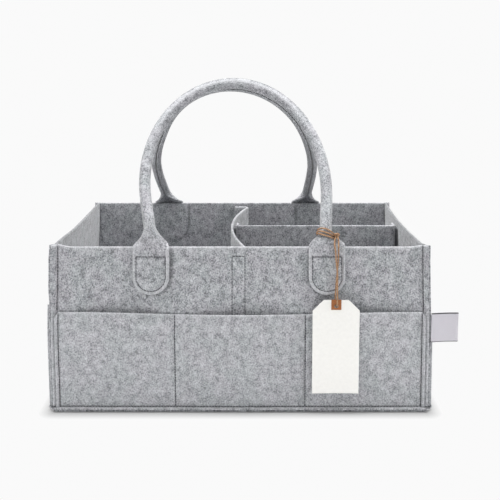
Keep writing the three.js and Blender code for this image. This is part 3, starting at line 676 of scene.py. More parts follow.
def wall_surface(side, offset, move=None):
    """The surface at an offset outwards from a wall's inner face: s runs along the wall, straight, then
    round a bend of 45 degrees and out along the corner fin; t is the height. move adds an outward
    displacement of s and t."""
    angle, _, face = SIDES[side][:3]
    straight, _ = wall_run(side)

    def point(s, t):
        run = np.minimum(np.abs(s), straight)
        bend = np.clip((np.abs(s) - straight) / BEND, 0, math.pi / 4)
        fin = np.maximum(np.abs(s) - straight - BEND * math.pi / 4, 0)
        x = np.sign(s) * (run + (BEND - offset) * np.sin(bend) + fin * DIAGONAL)
        y = -face - BEND + (BEND - offset) * np.cos(bend) - fin * DIAGONAL
        if move:
            y = y - move(s, t)
        return turned(np.stack([x, y, t + 0 * s], -1), angle)

    return point


def pocket_rise(t, top=1.0):
    """The share of the way up a pocket."""
    return np.clip((t - POCKET_FOOT) / (POCKET_HEIGHT - POCKET_FOOT), 0, top)


def pocket_swell(side):
    """A pocket's swelling: across each pocket a raised cosine, zero at its seams; up the pocket it grows
    as one less the square of what is left to the mouth."""
    straight, _ = wall_run(side)
    edges = np.array([-straight, *SIDES[side][3], straight])

    def move(s, t):
        k = np.clip(np.searchsorted(edges, s, side="right") - 1, 0, len(edges) - 2)
        share = np.clip((s - edges[k]) / (edges[k + 1] - edges[k]), 0, 1)
        return size("gape") * (1 - np.cos(2 * math.pi * share)) / 2 * (1 - (1 - pocket_rise(t)) ** 2)

    return move


def pocket_surface(side):
    """A pocket's middle surface: the wall's, swollen, with a top edge that sags in the middle, rises a little
    where it swells and slants down over the corner fins, or up over the left pocket's front one."""
    straight, length = wall_run(side)
    sag = size("sag") * (1.0 if long_side(side) else END_SAG)
    swell = pocket_swell(side)
    base = wall_surface(side, POCKET_NEAR + FELT / 2, swell)

    def point(s, t):
        dip = sag * np.cos(np.clip(s / straight, -1, 1) * math.pi / 2) ** 2
        ends = np.where((s > 0) & (side == "left"), -LEFT_RISE, FIN_SLANT)
        slant = ends * smooth_step(straight + 0.5, length, np.abs(s))
        fall = (dip + slant - MOUTH_LIFT * swell(s, t)) * pocket_rise(t, 1.02) ** 3
        return base(s, t) - np.stack([0 * s, 0 * s, fall], -1)

    return point


def pressed(side, sewn=0.0, fray=2.0):
    """The felt's thickness along a wall: full, thicker by sewn where two walls meet at a corner, and
    thinner at the cut edge of the corner fin, from fray past the bend's start."""
    straight, length = wall_run(side)

    def thick(s, t):
        met = sewn * smooth_step(straight - 1.0, straight + 2.0, np.abs(s))
        return FELT + met - FIN_PRESSED * smooth_step(straight + fray, length, np.abs(s))

    return thick


def tape_seams(side):
    """Sewn lines of a loop tape, seen on its wall's outer face."""
    middle = SIDES[side][4]
    if middle is None:
        return []
    half, low, top = LOOP_WIDTH / 2 - TAPE_HEM, TAPE_SEAM_LOW, TAPE_SEAM_TOP
    corners = [(middle - half, low), (middle - half, top), (middle + half, top), (middle + half, low)]
    return [(a, b, TAPE_SEAM) for a, b in zip(corners, corners[1:] + corners[:1])]


def corner_seams(side, low, high, crease=CREASE, weight=WALL_CORNER):
    """Sewn lines up the crease at both ends of a wall or pocket."""
    straight, _ = wall_run(side)
    return [((e, low), (e, high), weight) for e in (-straight - crease, straight + crease)]


def pocket_seams(side):
    """Sewn lines of a pocket: its dividing seams, the bottom seam and the corners."""
    straight, _ = wall_run(side)
    seams = [((x, BOTTOM_SEAM), (x, POCKET_HEIGHT - 1.0), POCKET_SEAM) for x in SIDES[side][3]]
    end = straight + POCKET_CREASE
    seams += [((-end, BOTTOM_SEAM), (end, BOTTOM_SEAM), FOOT_SEAM)]
    return seams + corner_seams(side, BOTTOM_SEAM, POCKET_HEIGHT - 2.0, POCKET_CREASE, POCKET_CORNER)


def lip_shell(side, near, edge_height, thick, short, shift):
    """A layer's bottom lip: a cove that leaves the wall upright and turns outwards along a quarter of a
    circle, thinning from the felt's thickness, with mitred ends and cut corners."""
    angle, half, face = SIDES[side][:3]
    start = near + FELT / 2
    reach = half + LIP_REACH
    run = LIP_RADIUS * math.pi / 2
    level = LIP_REACH - short - start - LIP_RADIUS

    def point(s, t):
        turn = np.clip((run + level - t) / LIP_RADIUS, 0, math.pi / 2)
        depth = start + LIP_RADIUS * (1 - np.cos(turn)) + np.maximum(level - t, 0)
        z = edge_height + LIP_RADIUS * (1 - np.sin(turn)) + rim_curl(LIP_REACH - depth)
        end = np.minimum(half + depth - (near + LAYER_GAP / 2) * math.sqrt(2), half + 2 * LIP_CUT - depth)
        return turned(np.stack([s / reach * end, -face - depth, z], -1), angle)

    def thinning(s, t):
        return thick + (FELT - 0.2 - thick) * smooth_step(level + run * 0.4, level + run, t)

    s, t = stations(-reach, reach, 6.0), stations(0.0, level + run, 0.5)
    return felt_shell(point, s, t, thinning, soft=0.5, shift=shift)


def rim_curl(inset):
    """How far the bottom seam's edge curls up off the table, by the distance in from the edge."""
    return RIM_CURL * (1 - smooth_step(0, 9, inset))


def fin_tone(side):
    """A long wall's felt is pale at its top edge, partly its cut fibres and partly painted highlight, and
    dark beside its tabs with painted shadow, and an end wall's is dark at its top edge with painted shade;
    beside the pockets every wall's is pale along the ends of its fins."""
    _, length = wall_run(side)

    def pale(s, t):
        rim = edge_tone(WALL_HEIGHT - t)
        # Painted highlight on a long wall's top edge and painted shadow beside its tabs; painted shade along
        # an end wall's top edge.
        top = rim - TAB_DARK * tab_shade(s, t) if long_side(side) else -rim
        end = 1 - smooth_step(1.5, 5.0, length - np.abs(s))
        beside = 1 - smooth_step(POCKET_HEIGHT - 1, POCKET_HEIGHT + 8, t)
        return top + FIN_PALE * end * beside

    return pale


def tab_shade(s, t):
    """How dark a wall is painted close beside its two tabs, a painted shadow: more on the sides towards each
    other.
    """
    beside = np.abs(s) - TAB_SPACING / 2
    out = np.hypot(beside, np.minimum(t - TAB_FOOT - TAB_RADIUS, 0)) - TAB_RADIUS
    near = smooth_step(-1.5, 0.2, out) * (1 - smooth_step(0.6, 4.2, out))
    return near * (0.25 + 0.75 * smooth_step(-6, 12, -beside)) * smooth_step(0, 3, WALL_HEIGHT - t)


def pocket_tone(s, t):
    """The pockets' felt is painted a little paler than the walls' as painted light, and palest at the top
    edge, partly its cut fibres and partly painted highlight.
    """
    return np.maximum(POCKET_PALE, MOUTH_PALE * edge_tone(POCKET_HEIGHT - t))


class CADDY_OT_walls(bpy.types.Operator):
    """Builds the four felt walls with their corner fins and bottom lips"""

    bl_idname = "caddy.walls"
    bl_label = "Walls"

    def execute(self, context):
        for number, side in enumerate(SIDES):
            _, length = wall_run(side)
            seams = tape_seams(side) + corner_seams(side, 4.0, WALL_HEIGHT - 0.5)
            columns, rows = (TAB_COLUMNS, TAB_ROWS) if long_side(side) else ([], [])
            s = stations(-length, length, 4.0, columns + seam_marks(seams, 0))
            t = stations(5.0, WALL_HEIGHT, 4.0, rows + seam_marks(seams, 1))
            place = SHEET * number
            look = {"groove": seam_groove(seams), "shift": (place, 0.0), "pale": fin_tone(side)}
            wall = felt_shell(wall_surface(side, FELT / 2), s, t, pressed(side, CORNER_SEWN, BEND), **look)
            lip = lip_shell(side, *WALL_LIP, (place, LIP_SHEET))
            add_piece(f"{side}_wall", [wall, lip], "felt", "caddy_box", [f"{side}_panel"], True)
        return {"FINISHED"}


class CADDY_OT_pockets(bpy.types.Operator):
    """Builds the four pocket felts, swelling between their seams, with their bottom lips"""

    bl_idname = "caddy.pockets"
    bl_label = "Pockets"

    def execute(self, context):
        for number, side in enumerate(SIDES):
            length = wall_run(side)[1] - (FRONT_SHORT if side == "front" else 0.0)
            seams = pocket_seams(side)
            s = stations(-length, length, 3.5, seam_marks(seams, 0))
            t = stations(4.3, POCKET_HEIGHT, 3.5, seam_marks(seams, 1))
            place = SHEET * number + HALF_SHEET
            look = {"groove": seam_groove(seams), "shift": (place, 0.0), "pale": pocket_tone}
            felt = felt_shell(pocket_surface(side), s, t, pressed(side), pale_ends=FIN_END_PALE, **look)
            lip = lip_shell(side, *POCKET_LIP, (place, LIP_SHEET))
            name = f"{side}_pocket"
            add_piece(f"{name}_felt", [felt, lip], "felt", "caddy_box", [name], True)
        return {"FINISHED"}


class CADDY_OT_base(bpy.types.Operator):
    """Builds the base felt with its cut corners"""

    bl_idname = "caddy.base"
    bl_label = "Base"

    def execute(self, context):
        reach_x, reach_y = (half + LIP_REACH - BASE_SHORT for half in (HALF_WIDTH, HALF_DEPTH))
        cut = 2 * (LIP_REACH - LIP_CUT)
        thick = BASE_FELT - BASE_PRESSED

        def point(s, t):
            width = reach_x - np.maximum(np.abs(t) - (reach_y - cut), 0)
            inset = np.minimum(reach_y - np.abs(t), reach_x - np.abs(s))
            return np.stack([s / reach_x * width, t, thick / 2 + rim_curl(inset)], -1)

        s = stations(-reach_x, reach_x, 8.0, [5 - reach_x, reach_x - 5], 4.5)
        t = stations(-reach_y, reach_y, 8.0, [5 - reach_y, reach_y - 5], 4.5)
        shell = felt_shell(point, s, t, thick, soft=0.4, shift=(5 * SHEET, 0.0))
        add_piece("base_felt", [shell], "felt", "caddy_box", ["base_panel"], True)
        return {"FINISHED"}


# Handles


STRIP_LEAN = LEAN - 0.009
FRONT_LIFT, BACK_LIFT = 0.8, -4.0
# How far each handle stands to the left: at its tabs, at the end of its sway and, for the back one, on top.
FRONT_SWAY, BACK_SWAY, BACK_LEG = (1.2, 7.3), (6.5, 3.2, 2.5), 110.0
FOLD_REACH, ROLL_START = 5.0, -1.5
GATHER_EASE, SHOULDER_EASE, GATHER_PUSH, GATHER_AT, GATHER_SPAN = 1.7, 1.3, 1.6, 8.0, 6.0
CURL, CURL_MORE, CURL_SPAN = 1.1, 0.5, 6.0
LEGS_WIDER, ARCH_NARROWER = 0.02, 0.045
# How far each mask pales or darkens a handle's felt: a tab's hem, partly cut fibres and partly painted
# highlight; the roll's cut edges; the arch's painted highlight and painted shade; painted shade along a tab's
# sewn line.
HEM_PALE, CUT_PALE, ARCH_HIGHLIGHT, ARCH_DARK, SEWN_DARK = 0.8, 0.6, 1.2, 1.85, 1.3
TAB_CENTRE = TAB_FOOT + TAB_RADIUS - HINGE_Z
TAB_STITCH, TAB_STITCH_TOP, SEAM_WIDTH = TAB_RADIUS - 3.4, -10.5, 0.9
CORE_RADIUS, CORE = 2.9, {"sides": 12, "twist": 0.25, "plies": 4, "ply_depth": 0.05}


def sway(rise, back):
    """A handle's place along X at a height: it stands to the left by a sine of the height."""
    foot, most = (BACK_SWAY if back else FRONT_SWAY)[:2]
    share = np.clip(rise / (BACK_LEG if back else GRIP_REACH), 0, 1)
    top = BACK_SWAY[2] * smooth_step(BACK_LEG, 190, rise) if back else 0.0
    return -foot - most * np.sin(share * math.pi / 2) - top


def fold_surface(rise, depth):
    """From places up a handle and inwards from its outer face to Y and Z: upright below the rim, then
    round an arc of the lean, then along the leaning plane."""
    radius = FOLD_REACH / math.tan(STRIP_LEAN / 2)
    half = radius * STRIP_LEAN / 2
    turn = np.clip((rise + half) / radius, 0, STRIP_LEAN)
    past = np.maximum(rise - half, 0)
    below = np.minimum(rise + half, 0)
    y = HINGE_Y + radius * (1 - np.cos(turn)) + depth * np.cos(turn) + past * math.sin(STRIP_LEAN)
    z = HINGE_Z - FOLD_REACH + below + (radius - depth) * np.sin(turn) + past * math.cos(STRIP_LEAN)
    return y, z


def leg_middle(rise):
    """The spread of a leg from the tabs' spacing to the arch's, by a smooth step."""
    return TAB_SPACING / 2 + (ARCH_WIDTH - TAB_SPACING) / 2 * smooth_step(0, LEG, rise)


def grip_spine(back):
    """The strip's middle line in the handle's plane by felt length: up one tab and leg, over a half
    ellipse and down again, with the direction at each place."""
    rise = np.linspace(TAB_CENTRE, LEG, 240)
    right = np.stack([leg_middle(rise), rise], -1)
    turn = np.linspace(0, math.pi, 420)[1:-1]
    reach = GRIP_REACH + (BACK_LIFT if back else FRONT_LIFT)
    arch = np.stack([ARCH_WIDTH / 2 * np.cos(turn), LEG + (reach - LEG) * np.sin(turn)], -1)
    line = np.concatenate([right, arch, (right * [-1, 1])[::-1]])
    length = TAB_RADIUS + lengths_along(line)
    return length, line, unit(np.gradient(line, length, axis=0))


def strip_places(u, w, back):
    """Places of the strip along X, up the handle and inwards from its outer face: its round tab ends map a
    square grid on a half disc, and its section bends from flat into a nearly closed circle by the roll's
    share, sooner on the front right leg, where the twine gathers it."""
    length, line, way = grip_spine(back)
    total = length[-1] + TAB_RADIUS
    x = np.interp(w, length, line[:, 0])
    rise = np.interp(w, length, line[:, 1])
    ax, ar = np.interp(w, length, way[:, 0]), np.interp(w, length, way[:, 1])
    v = np.clip(1 - np.minimum(w, total - w) / TAB_RADIUS, 0, 1)
    gathered = (w < total / 2) & (not back)
    part = np.clip((rise - ROLL_START) / np.where(gathered, GATHER, SHOULDER), 1e-3, 1)
    share = part ** np.where(gathered, GATHER_EASE, SHOULDER_EASE)
    pushed = GATHER_PUSH * np.exp(-(((rise - GATHER_AT) / GATHER_SPAN) ** 2))
    x = x + np.where(gathered, pushed, 0.0)
    half_turn = share * ROLL_HALF_TURN
    width = TAB_WIDTH * (1 - share) + 2 * ROLL_HALF_TURN * ROLL_MIDDLE * share
    radius = width / (2 * half_turn)
    across = u / TAB_RADIUS
    q = radius * np.sin(half_turn * across) * np.sqrt(1 - v**2 / 2)
    depth = FELT / 2 + radius * (1 - np.cos(half_turn * across))
    drop = TAB_RADIUS * v * np.sqrt(1 - across**2 / 2)
    x, rise = x + ar * q, rise - ax * q - drop
    return x, rise, depth - tab_curl(x, rise)


def tab_lines(x, rise):
    """Distances in a tab's plane: out past the sewn line round it, and to the sewn line across its top."""
    beside = np.abs(np.abs(x) - TAB_SPACING / 2)
    out = np.hypot(beside, np.minimum(rise - TAB_CENTRE, 0)) - TAB_STITCH
    return out, np.hypot(np.maximum(beside - TAB_STITCH, 0), rise - TAB_STITCH_TOP)


def tab_curl(x, rise):
    """How far a tab's rim lifts off the wall past its sewn line, most on the side towards the middle."""
    out, _ = tab_lines(x, rise)
    height = CURL - CURL_MORE * np.tanh((np.abs(x) - TAB_SPACING / 2) / CURL_SPAN)
    return height * smooth_step(0.3, 3.4, out) * (1 - smooth_step(-9, 1, rise))


def arch_width(rise, back):
    """How much wider than the frame's a handle stands at a height: the back one a little at its legs,
    and narrower over its arch."""
    if not back:
        return 1.0 + 0 * rise
    return 1 + LEGS_WIDER * smooth_step(0, 50, rise) - ARCH_NARROWER * smooth_step(60, 130, rise)


def sway_vector(rise, back):
    return np.stack([sway(rise, back), 0 * rise, 0 * rise], -1)


def strip_surface(back):
    """The handle strip's middle surface over across u and felt length w."""

    def point(u, w):
        x, rise, depth = strip_places(u, w, back)
        y, z = fold_surface(rise, depth)
        x = x * arch_width(rise, back)
        return turned(np.stack([x, y, z], -1), math.pi if back else 0.0) + sway_vector(rise, back)

    return point


def tab_outline(pitch):
    """The sewn line on a tab, in the tab's plane: down one side, round the half circle, up the other
    side and straight across the top. Middles and directions of the stitches."""
    arc = np.linspace(0, math.pi, 60)
    bow = np.stack([TAB_STITCH * np.cos(arc), TAB_CENTRE - TAB_STITCH * np.sin(arc)], -1)
    left, right = [-TAB_STITCH, TAB_STITCH_TOP], [TAB_STITCH, TAB_STITCH_TOP]
    line = np.concatenate([[right], bow, [left, right]])
    length = lengths_along(line)
    count = round(length[-1] / pitch)
    at = (np.arange(count) + 0.5) * length[-1] / count

    def place(w):
        return np.stack([np.interp(w, length, line[:, 0]), np.interp(w, length, line[:, 1])], -1)

    return place(at), unit(place(at + 0.2) - place(at - 0.2))


def tab_groove(back):
    """The groove of a tab's sewn line, by the distance to it in the tab's plane."""

    def cut(u, w):
        x, rise, _ = strip_places(u, w, back)
        out, bar = tab_lines(x, rise)
        away = np.minimum(np.where(rise < TAB_STITCH_TOP, np.abs(out), 10 * SEAM_WIDTH), bar)
        return size("groove") * np.exp(-((away / SEAM_WIDTH) ** 2)) * (rise < -1.0)

    return cut


def strip_pale(back):
    """Where a handle's felt is pale: between a tab's sewn line and its edge, partly its cut fibres and partly
    painted highlight, beside the cut edges that meet behind the roll, and in a painted highlight on the
    outside of the arch. It is darker with painted shade along the top of the arch, over the front handle's
    shoulders and along the sewn line across a tab."""

    def mask(u, w):
        x, rise, _ = strip_places(u, w, back)
        across = u / TAB_RADIUS
        out, bar = tab_lines(x, rise)
        # Pale tab rim past the sewn line: partly pale cut fibres, partly a painted highlight where the loose
        # rim catches the light.
        rim = HEM_PALE * smooth_step(0.6, 1.6, out) * (1 - smooth_step(-2, 12, rise))
        cut = CUT_PALE * smooth_step(0.6, 0.95, np.abs(across)) * smooth_step(15, 45, rise)
        # Painted shade along the top of the arch, and a painted highlight in a band on its outside.
        shaded = ARCH_DARK * smooth_step(0.02, 0.2, across)
        painted_highlight = ARCH_HIGHLIGHT * smooth_step(-0.16, -0.04, across) - shaded
        arch = painted_highlight * (1 - smooth_step(0.55, 0.7, across)) * smooth_step(115, 180, rise)
        # Painted shade over the front handle's shoulders, where the strip gathers into the roll.
        shoulder = smooth_step(-4, 3, rise) * (1 - smooth_step(8, 38, rise))
        # Painted shade in the groove of the sewn line across a tab.
        sewn = SEWN_DARK * np.exp(-((bar / SEAM_WIDTH) ** 2))
        return rim + cut + arch - sewn - (not back) * shoulder

    return mask


class CADDY_OT_handles(bpy.types.Operator):
    """Builds each handle as one felt strip, flat at its tabs and rolled between them, and its cord"""

    bl_idname = "caddy.handles"
    bl_label = "Handles"

    def execute(self, context):
        for number, name in enumerate(("front", "back")):
            back = name == "back"
            sign, angle = (-1, math.pi) if back else (1, 0.0)
            length, line, _ = grip_spine(back)
            total = length[-1] + TAB_RADIUS
            rolled = TAB_RADIUS - TAB_CENTRE + SHOULDER + 6.0
            ends = np.concatenate([[0.18, 0.6], np.arange(0.0, rolled, 1.0)])
            run = np.arange(rolled, total - rolled, 3.0)
            w = np.unique(np.round(np.concatenate([ends, run, total - ends]), 3))
            u = stations(-TAB_RADIUS, TAB_RADIUS, 1.1)
            point = strip_surface(back)

            def inner(a, b):
                return point(a * 0.96, np.clip(b, 1.2, total - 1.2) + (b - total / 2) * 1e-3)

            shift = (6 * SHEET + 200.0 * number, 0.0)
            look = {"groove": tab_groove(back), "shift": shift, "pale": strip_pale(back)}
            shell = felt_shell(point, u, w, normal_point=inner, **look)
            nodes = [f"{name}_left_tab", f"{name}_right_tab", f"{name}_handle_grip"]
            strip = add_piece(f"{name}_handle_strip", [shell], "felt", None, nodes, True)
            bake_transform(strip)
            x, rise = line[line[:, 1] > SHOULDER][::6].T
            y, z = fold_surface(rise, ROLL / 2)
            path = turned(np.stack([x * arch_width(rise, back), y, z], -1), angle) + sway_vector(rise, back)
            plane = np.array([0, sign * math.cos(LEAN), -math.sin(LEAN)])
            core = tube_shell(path, CORE_RADIUS, across=plane, **CORE)
            add_piece(f"{name}_grip_cord", [core], "core", f"{name}_handle", [f"{name}_handle_core"])
        return {"FINISHED"}


# Dividers and tapes


def plan_curve(points):
    """A plan line by its length, from close points."""
    line = np.asarray(points, float)
    length = lengths_along(line)

    def point(s, t):
        return np.stack([np.interp(s, length, line[:, 0]), np.interp(s, length, line[:, 1]), t + 0 * s], -1)

    return point, length[-1]


FLAP_Y = HALF_DEPTH - TAPE_STACK - FELT / 2
FOLD_X, BOW = LOOP_X + 4.0, 17.0
BOW_SLOPE = math.atan(2 * BOW / (FLAP_Y - FLAP_BEND))
BOW_END_Y = FLAP_Y - FLAP_BEND * (1 + math.sin(BOW_SLOPE))
BOW_RATE = math.tan(BOW_SLOPE) / (2 * BOW_END_Y)
BOW_MIDDLE_X = FOLD_X + FLAP_BEND * math.cos(BOW_SLOPE) - BOW_RATE * BOW_END_Y**2
MAIN_FACE_X = BOW_MIDDLE_X + BOW_RATE * (CROSS_TAPE_Y + LOOP_WIDTH / 2) ** 2 + FELT / 2


def main_divider_line():
    """The long divider's plan: a flap along the front wall, a fold, a parabola bowed to the left, a fold
    and a flap along the back wall."""
    turn = np.linspace(0, math.pi / 2 + BOW_SLOPE, 30)
    fold = np.stack([FOLD_X + FLAP_BEND * np.sin(turn), -FLAP_Y + FLAP_BEND * (1 - np.cos(turn))], -1)
    half = np.concatenate([[[FOLD_X - HOOK_WIDTH, -FLAP_Y]], fold])
    y = np.linspace(-BOW_END_Y, BOW_END_Y, 160)[1:-1]
    bow = np.stack([BOW_MIDDLE_X + BOW_RATE * y**2, y], -1)
    return np.concatenate([half, bow, (half * [1, -1])[::-1]])


def cross_divider_line():
    """The short divider's plan: a flap on the right wall, a fold, a straight run and the same at the long
    divider."""
    left = MAIN_FACE_X + TAPE_STACK + FELT / 2
    right = HALF_WIDTH - TAPE_STACK - FELT / 2
    turn = np.linspace(0, math.pi / 2, 24)
    fold = np.stack([right - FLAP_BEND * (1 - np.cos(turn)), FLAP_BEND * (1 - np.sin(turn))], -1)
    fold = np.concatenate([[[right, FLAP_BEND + HOOK_WIDTH]], fold])
    mirrored = np.stack([left + right - fold[:, 0], fold[:, 1]], -1)[::-1]
    x = np.linspace(fold[-1, 0], mirrored[0, 0], 40)[1:-1]
    return np.concatenate([fold, np.stack([x, 0 * x], -1), mirrored])


class CADDY_OT_dividers(bpy.types.Operator):
    """Builds the two lift-out dividers with their folded end flaps"""

    bl_idname = "caddy.dividers"
    bl_label = "Dividers"

    def execute(self, context):
        lines = {"main": main_divider_line(), "cross": cross_divider_line()}
        for number, (name, line) in enumerate(lines.items()):
            point, length = plan_curve(line)
            hems = (FLAP_HEM, HOOK_WIDTH - FLAP_HEM)
            flap = [*hems, *(length - hem for hem in hems)]
            seams = [((s, TAPE_SEAM_LOW), (s, TAPE_SEAM_TOP), FLAP_SEAM) for s in flap]
            s = stations(0.0, length, 3.0, flap)
            t = stations(DIVIDER_FOOT, DIVIDER_TOP, 4.0)
            shift = (7 * SHEET + 500.0 * number, 0.0)
            shell = felt_shell(point, s, t, groove=seam_groove(seams), shift=shift)
            sewn = surface_stitches(point, seams)
            body = f"{name}_divider"
            add_piece(f"{body}_felt", [shell], "felt", body, [body], True, DIVIDER_TOP)
            add_piece(f"{body}_stitches", [sewn], "thread", body, (), True, DIVIDER_TOP)
        return {"FINISHED"}


class CADDY_OT_tapes(bpy.types.Operator):
    """Builds the hook and loop tapes on the walls and dividers"""

    bl_idname = "caddy.tapes"
    bl_label = "Tapes"

    def execute(self, context):
        loop_y = HALF_DEPTH - LAYER_GAP
        hook_y = loop_y - TAPE_STACK + 2 * LAYER_GAP
        hook_x = FOLD_X - HOOK_WIDTH / 2
        loop_x, main_x = HALF_WIDTH - LAYER_GAP, MAIN_FACE_X + LAYER_GAP
        between = TAPE_STACK - 2 * LAYER_GAP
        quarter = math.pi / 2
        tapes = [
            ("front_loop_tape", "caddy_box", LOOP_WIDTH, LOOP_X, -loop_y, 0.0),
            ("back_loop_tape", "caddy_box", LOOP_WIDTH, LOOP_X, loop_y, math.pi),
            ("right_loop_tape", "caddy_box", LOOP_WIDTH, loop_x, CROSS_TAPE_Y, quarter),
            ("main_front_hook_tape", "main_divider", HOOK_WIDTH, hook_x, -hook_y, math.pi),
            ("main_back_hook_tape", "main_divider", HOOK_WIDTH, hook_x, hook_y, 0.0),
            ("main_loop_tape", "main_divider", LOOP_WIDTH, main_x, CROSS_TAPE_Y, -quarter),
            ("cross_right_hook_tape", "cross_divider", HOOK_WIDTH, loop_x - between, CROSS_TAPE_Y, -quarter),
            ("cross_left_hook_tape", "cross_divider", HOOK_WIDTH, main_x + between, CROSS_TAPE_Y, quarter),
        ]
        middle_z = WALL_HEIGHT - TAPE_DROP - TAPE_LENGTH / 2
        for name, body, width, x, y, angle in tapes:

            def point(s, t):
                corner = np.maximum(np.abs(t) - TAPE_LENGTH / 2 + TAPE_ROUND, 0)
                inset = TAPE_ROUND - np.sqrt(np.maximum(TAPE_ROUND**2 - corner**2, 0))
                flat = np.stack([s * (1 - 2 * inset / width), TAPE / 2 + 0 * s, t], -1)
                return turned(flat, angle) + [x, y, middle_z]

            s = stations(-width / 2, width / 2, 2.0)
            t = stations(-TAPE_LENGTH / 2, TAPE_LENGTH / 2, 4.0, [], 0.6)
            shell = felt_shell(point, s, t, TAPE, soft=0.25, shift=(9 * SHEET, 0.0))
            level = None if body == "caddy_box" else DIVIDER_TOP
            add_piece(f"{name}_strip", [shell], "tape", body, [name], True, level)
        return {"FINISHED"}


# Stitching


class CADDY_OT_stitching(bpy.types.Operator):
    """Sews the walls, pockets and handle tabs with dark thread"""

    bl_idname = "caddy.stitching"
    bl_label = "Stitching"

    def execute(self, context):
        for side in SIDES:
            lines = tape_seams(side) + corner_seams(side, POCKET_HEIGHT + 1.0, WALL_HEIGHT - 1.0)
            shells = [
                surface_stitches(wall_surface(side, FELT / 2), lines),
                surface_stitches(pocket_surface(side), pocket_seams(side)),
            ]
            add_piece(f"{side}_stitches", shells, "thread", "caddy_box", settled=True)
        pitch, thread = size("stitch"), size("thread")
        (across, rise), (way_x, way_z) = (pairs.T for pairs in tab_outline(pitch))
        y, z = fold_surface(rise, 0.0)
        ways = np.stack([way_x, 0 * y, way_z], -1)
        out = np.tile([0.0, -1.0, 0.0], (len(y), 1))
        for name, angle, leaning in (("front", 0.0, sway(rise, False)), ("back", math.pi, -sway(rise, True))):
            shells = []
            for middle in (-TAB_SPACING / 2, TAB_SPACING / 2):
                x = middle + across + leaning
                points = np.stack([x, y + size("groove") - thread * THREAD_RISE, z], -1)
                seam = (turned(v, angle) for v in (points, ways, out))
                shells.append(stitch_shell(*seam, pitch * STITCH_FILL, thread))
            add_piece(f"{name}_tab_stitches", shells, "thread", "caddy_box", settled=True)
        return {"FINISHED"}


# Twine, tag and label


TWINE = {"sides": 10, "twist": 1.9, "plies": 2, "ply_depth": 0.16}
WRAP_RISE, WRAP_TURNS, WRAP_START, WRAP_ACROSS, WRAP_OUT, WRAP_TILT = 12.75, 2.93, 0.35, 9.2, 7.4, 0.34
# The hanging strands: places down the leg, and how far each place stands aside on the way there and back.
LEG_DROPS = np.array([2.7, 6.0, 10.0, 15.0])
ASIDE_THERE, ASIDE_BACK = (-0.9, -2.0, -2.6, -2.2, -0.9, 0.5, 0.6), (-0.6, 0.2, 1.0, 1.2, 1.4, 1.5, 0.9)
KNOT_REACH, KNOT_DEPTH, HOLE = 2.5, 1.3, 2.0
PATCH_HALF, PATCH_TOP, PATCH_LOW, PATCH_GAP = 5.0, 0.5, 4.0, 0.05
CARD_BEND, CARD_CUP = 1.6, 0.8
LABEL_WAVE, LABEL_TURN, LABEL_BACK, LABEL_BELLY, LABEL_RISE = 0.9, 2.6, 0.5, 0.5, 0.03


def strand_route():
    """The hanging twine from the knot: down the leg, over the fold, down the front to the card, through
    its hole and back up behind it."""
    down = np.array([0.0, -math.sin(LEAN), -math.cos(LEAN)])
    hole = np.array([TAG_SIDE, CARD_Y - KNOT_AT[1], -STRAND_DROP - HOLE_INSET + HOLE_LOOP])
    front, behind = hole + [0, -HOLE_LOOP, 0], hole + [0, HOLE_LOOP, 0]
    share = np.array([0.25, 0.5, 0.75])[:, None]
    turn = np.linspace(0, math.pi, 9)
    bend = np.stack([0.7 * np.cos(turn), -HOLE_LOOP * np.cos(turn), -HOLE_LOOP * np.sin(turn)], -1) + hole
    leg = down * LEG_DROPS[:, None]
    there = np.concatenate([leg, leg[-1] + (front - leg[-1]) * share])
    back = np.concatenate([behind + (leg[-1] - behind) * share, leg[::-1]])
    there[:, 0] += ASIDE_THERE
    back[:, 0] += ASIDE_BACK
    return np.concatenate([there, bend, back]) + KNOT_AT


def leg_axes():
    """The front right leg at the twine: its middle, and the handle plane's across, out and up ways."""
    y, z = fold_surface(WRAP_RISE, ROLL / 2)
    middle = np.array([leg_middle(WRAP_RISE) + sway(WRAP_RISE, False), y, z])
    out = np.array([0.0, -math.cos(LEAN), math.sin(LEAN)])
    up = np.array([0.0, math.sin(LEAN), math.cos(LEAN)])
    return middle, np.array([1.0, 0.0, 0.0]), out, up


def wrap_route():
    """Twine round the leg: loose turns of a tilted ellipse, high on the left and drawn down to the knot
    on the right, which part in front like a lens."""
    middle, across, out, up = leg_axes()
    turn = np.linspace(0.0, WRAP_TURNS * 2 * math.pi, 150)
    lap = turn / (2 * math.pi)
    place = turn + WRAP_START
    x = 0.9 - WRAP_ACROSS * np.cos(place)
    o = (WRAP_OUT + 0.5 * np.sin(2.2 * turn)) * np.sin(place)
    parted = np.maximum(np.sin(place), 0) * (3.0 - 2.6 * np.floor(lap))
    line = np.stack([x, o, 2.9 - WRAP_TILT * x - lap + parted], -1)
    knot = KNOT_AT - middle
    end = np.array([[knot[0], knot @ out, knot @ up]])
    line = np.concatenate([line[:-6], line[-6:-5] * 0.4 + end * 0.6, end])
    return middle + line[:, :1] * across + line[:, 1:2] * out + line[:, 2:] * up


def knot_route():
    """An overhand knot: the trefoil curve (sin t + 2 sin 2t, cos t - 2 cos 2t, -sin 3t), scaled."""
    t = np.linspace(0, 2 * math.pi, 97)[:-1]
    x, z = np.sin(t) + 2 * np.sin(2 * t), np.cos(t) - 2 * np.cos(2 * t)
    line = np.stack([x, -np.sin(3 * t) * KNOT_DEPTH, z], -1)
    return KNOT_AT + line * KNOT_REACH / 3 + [0.0, 0.0, -1.0]


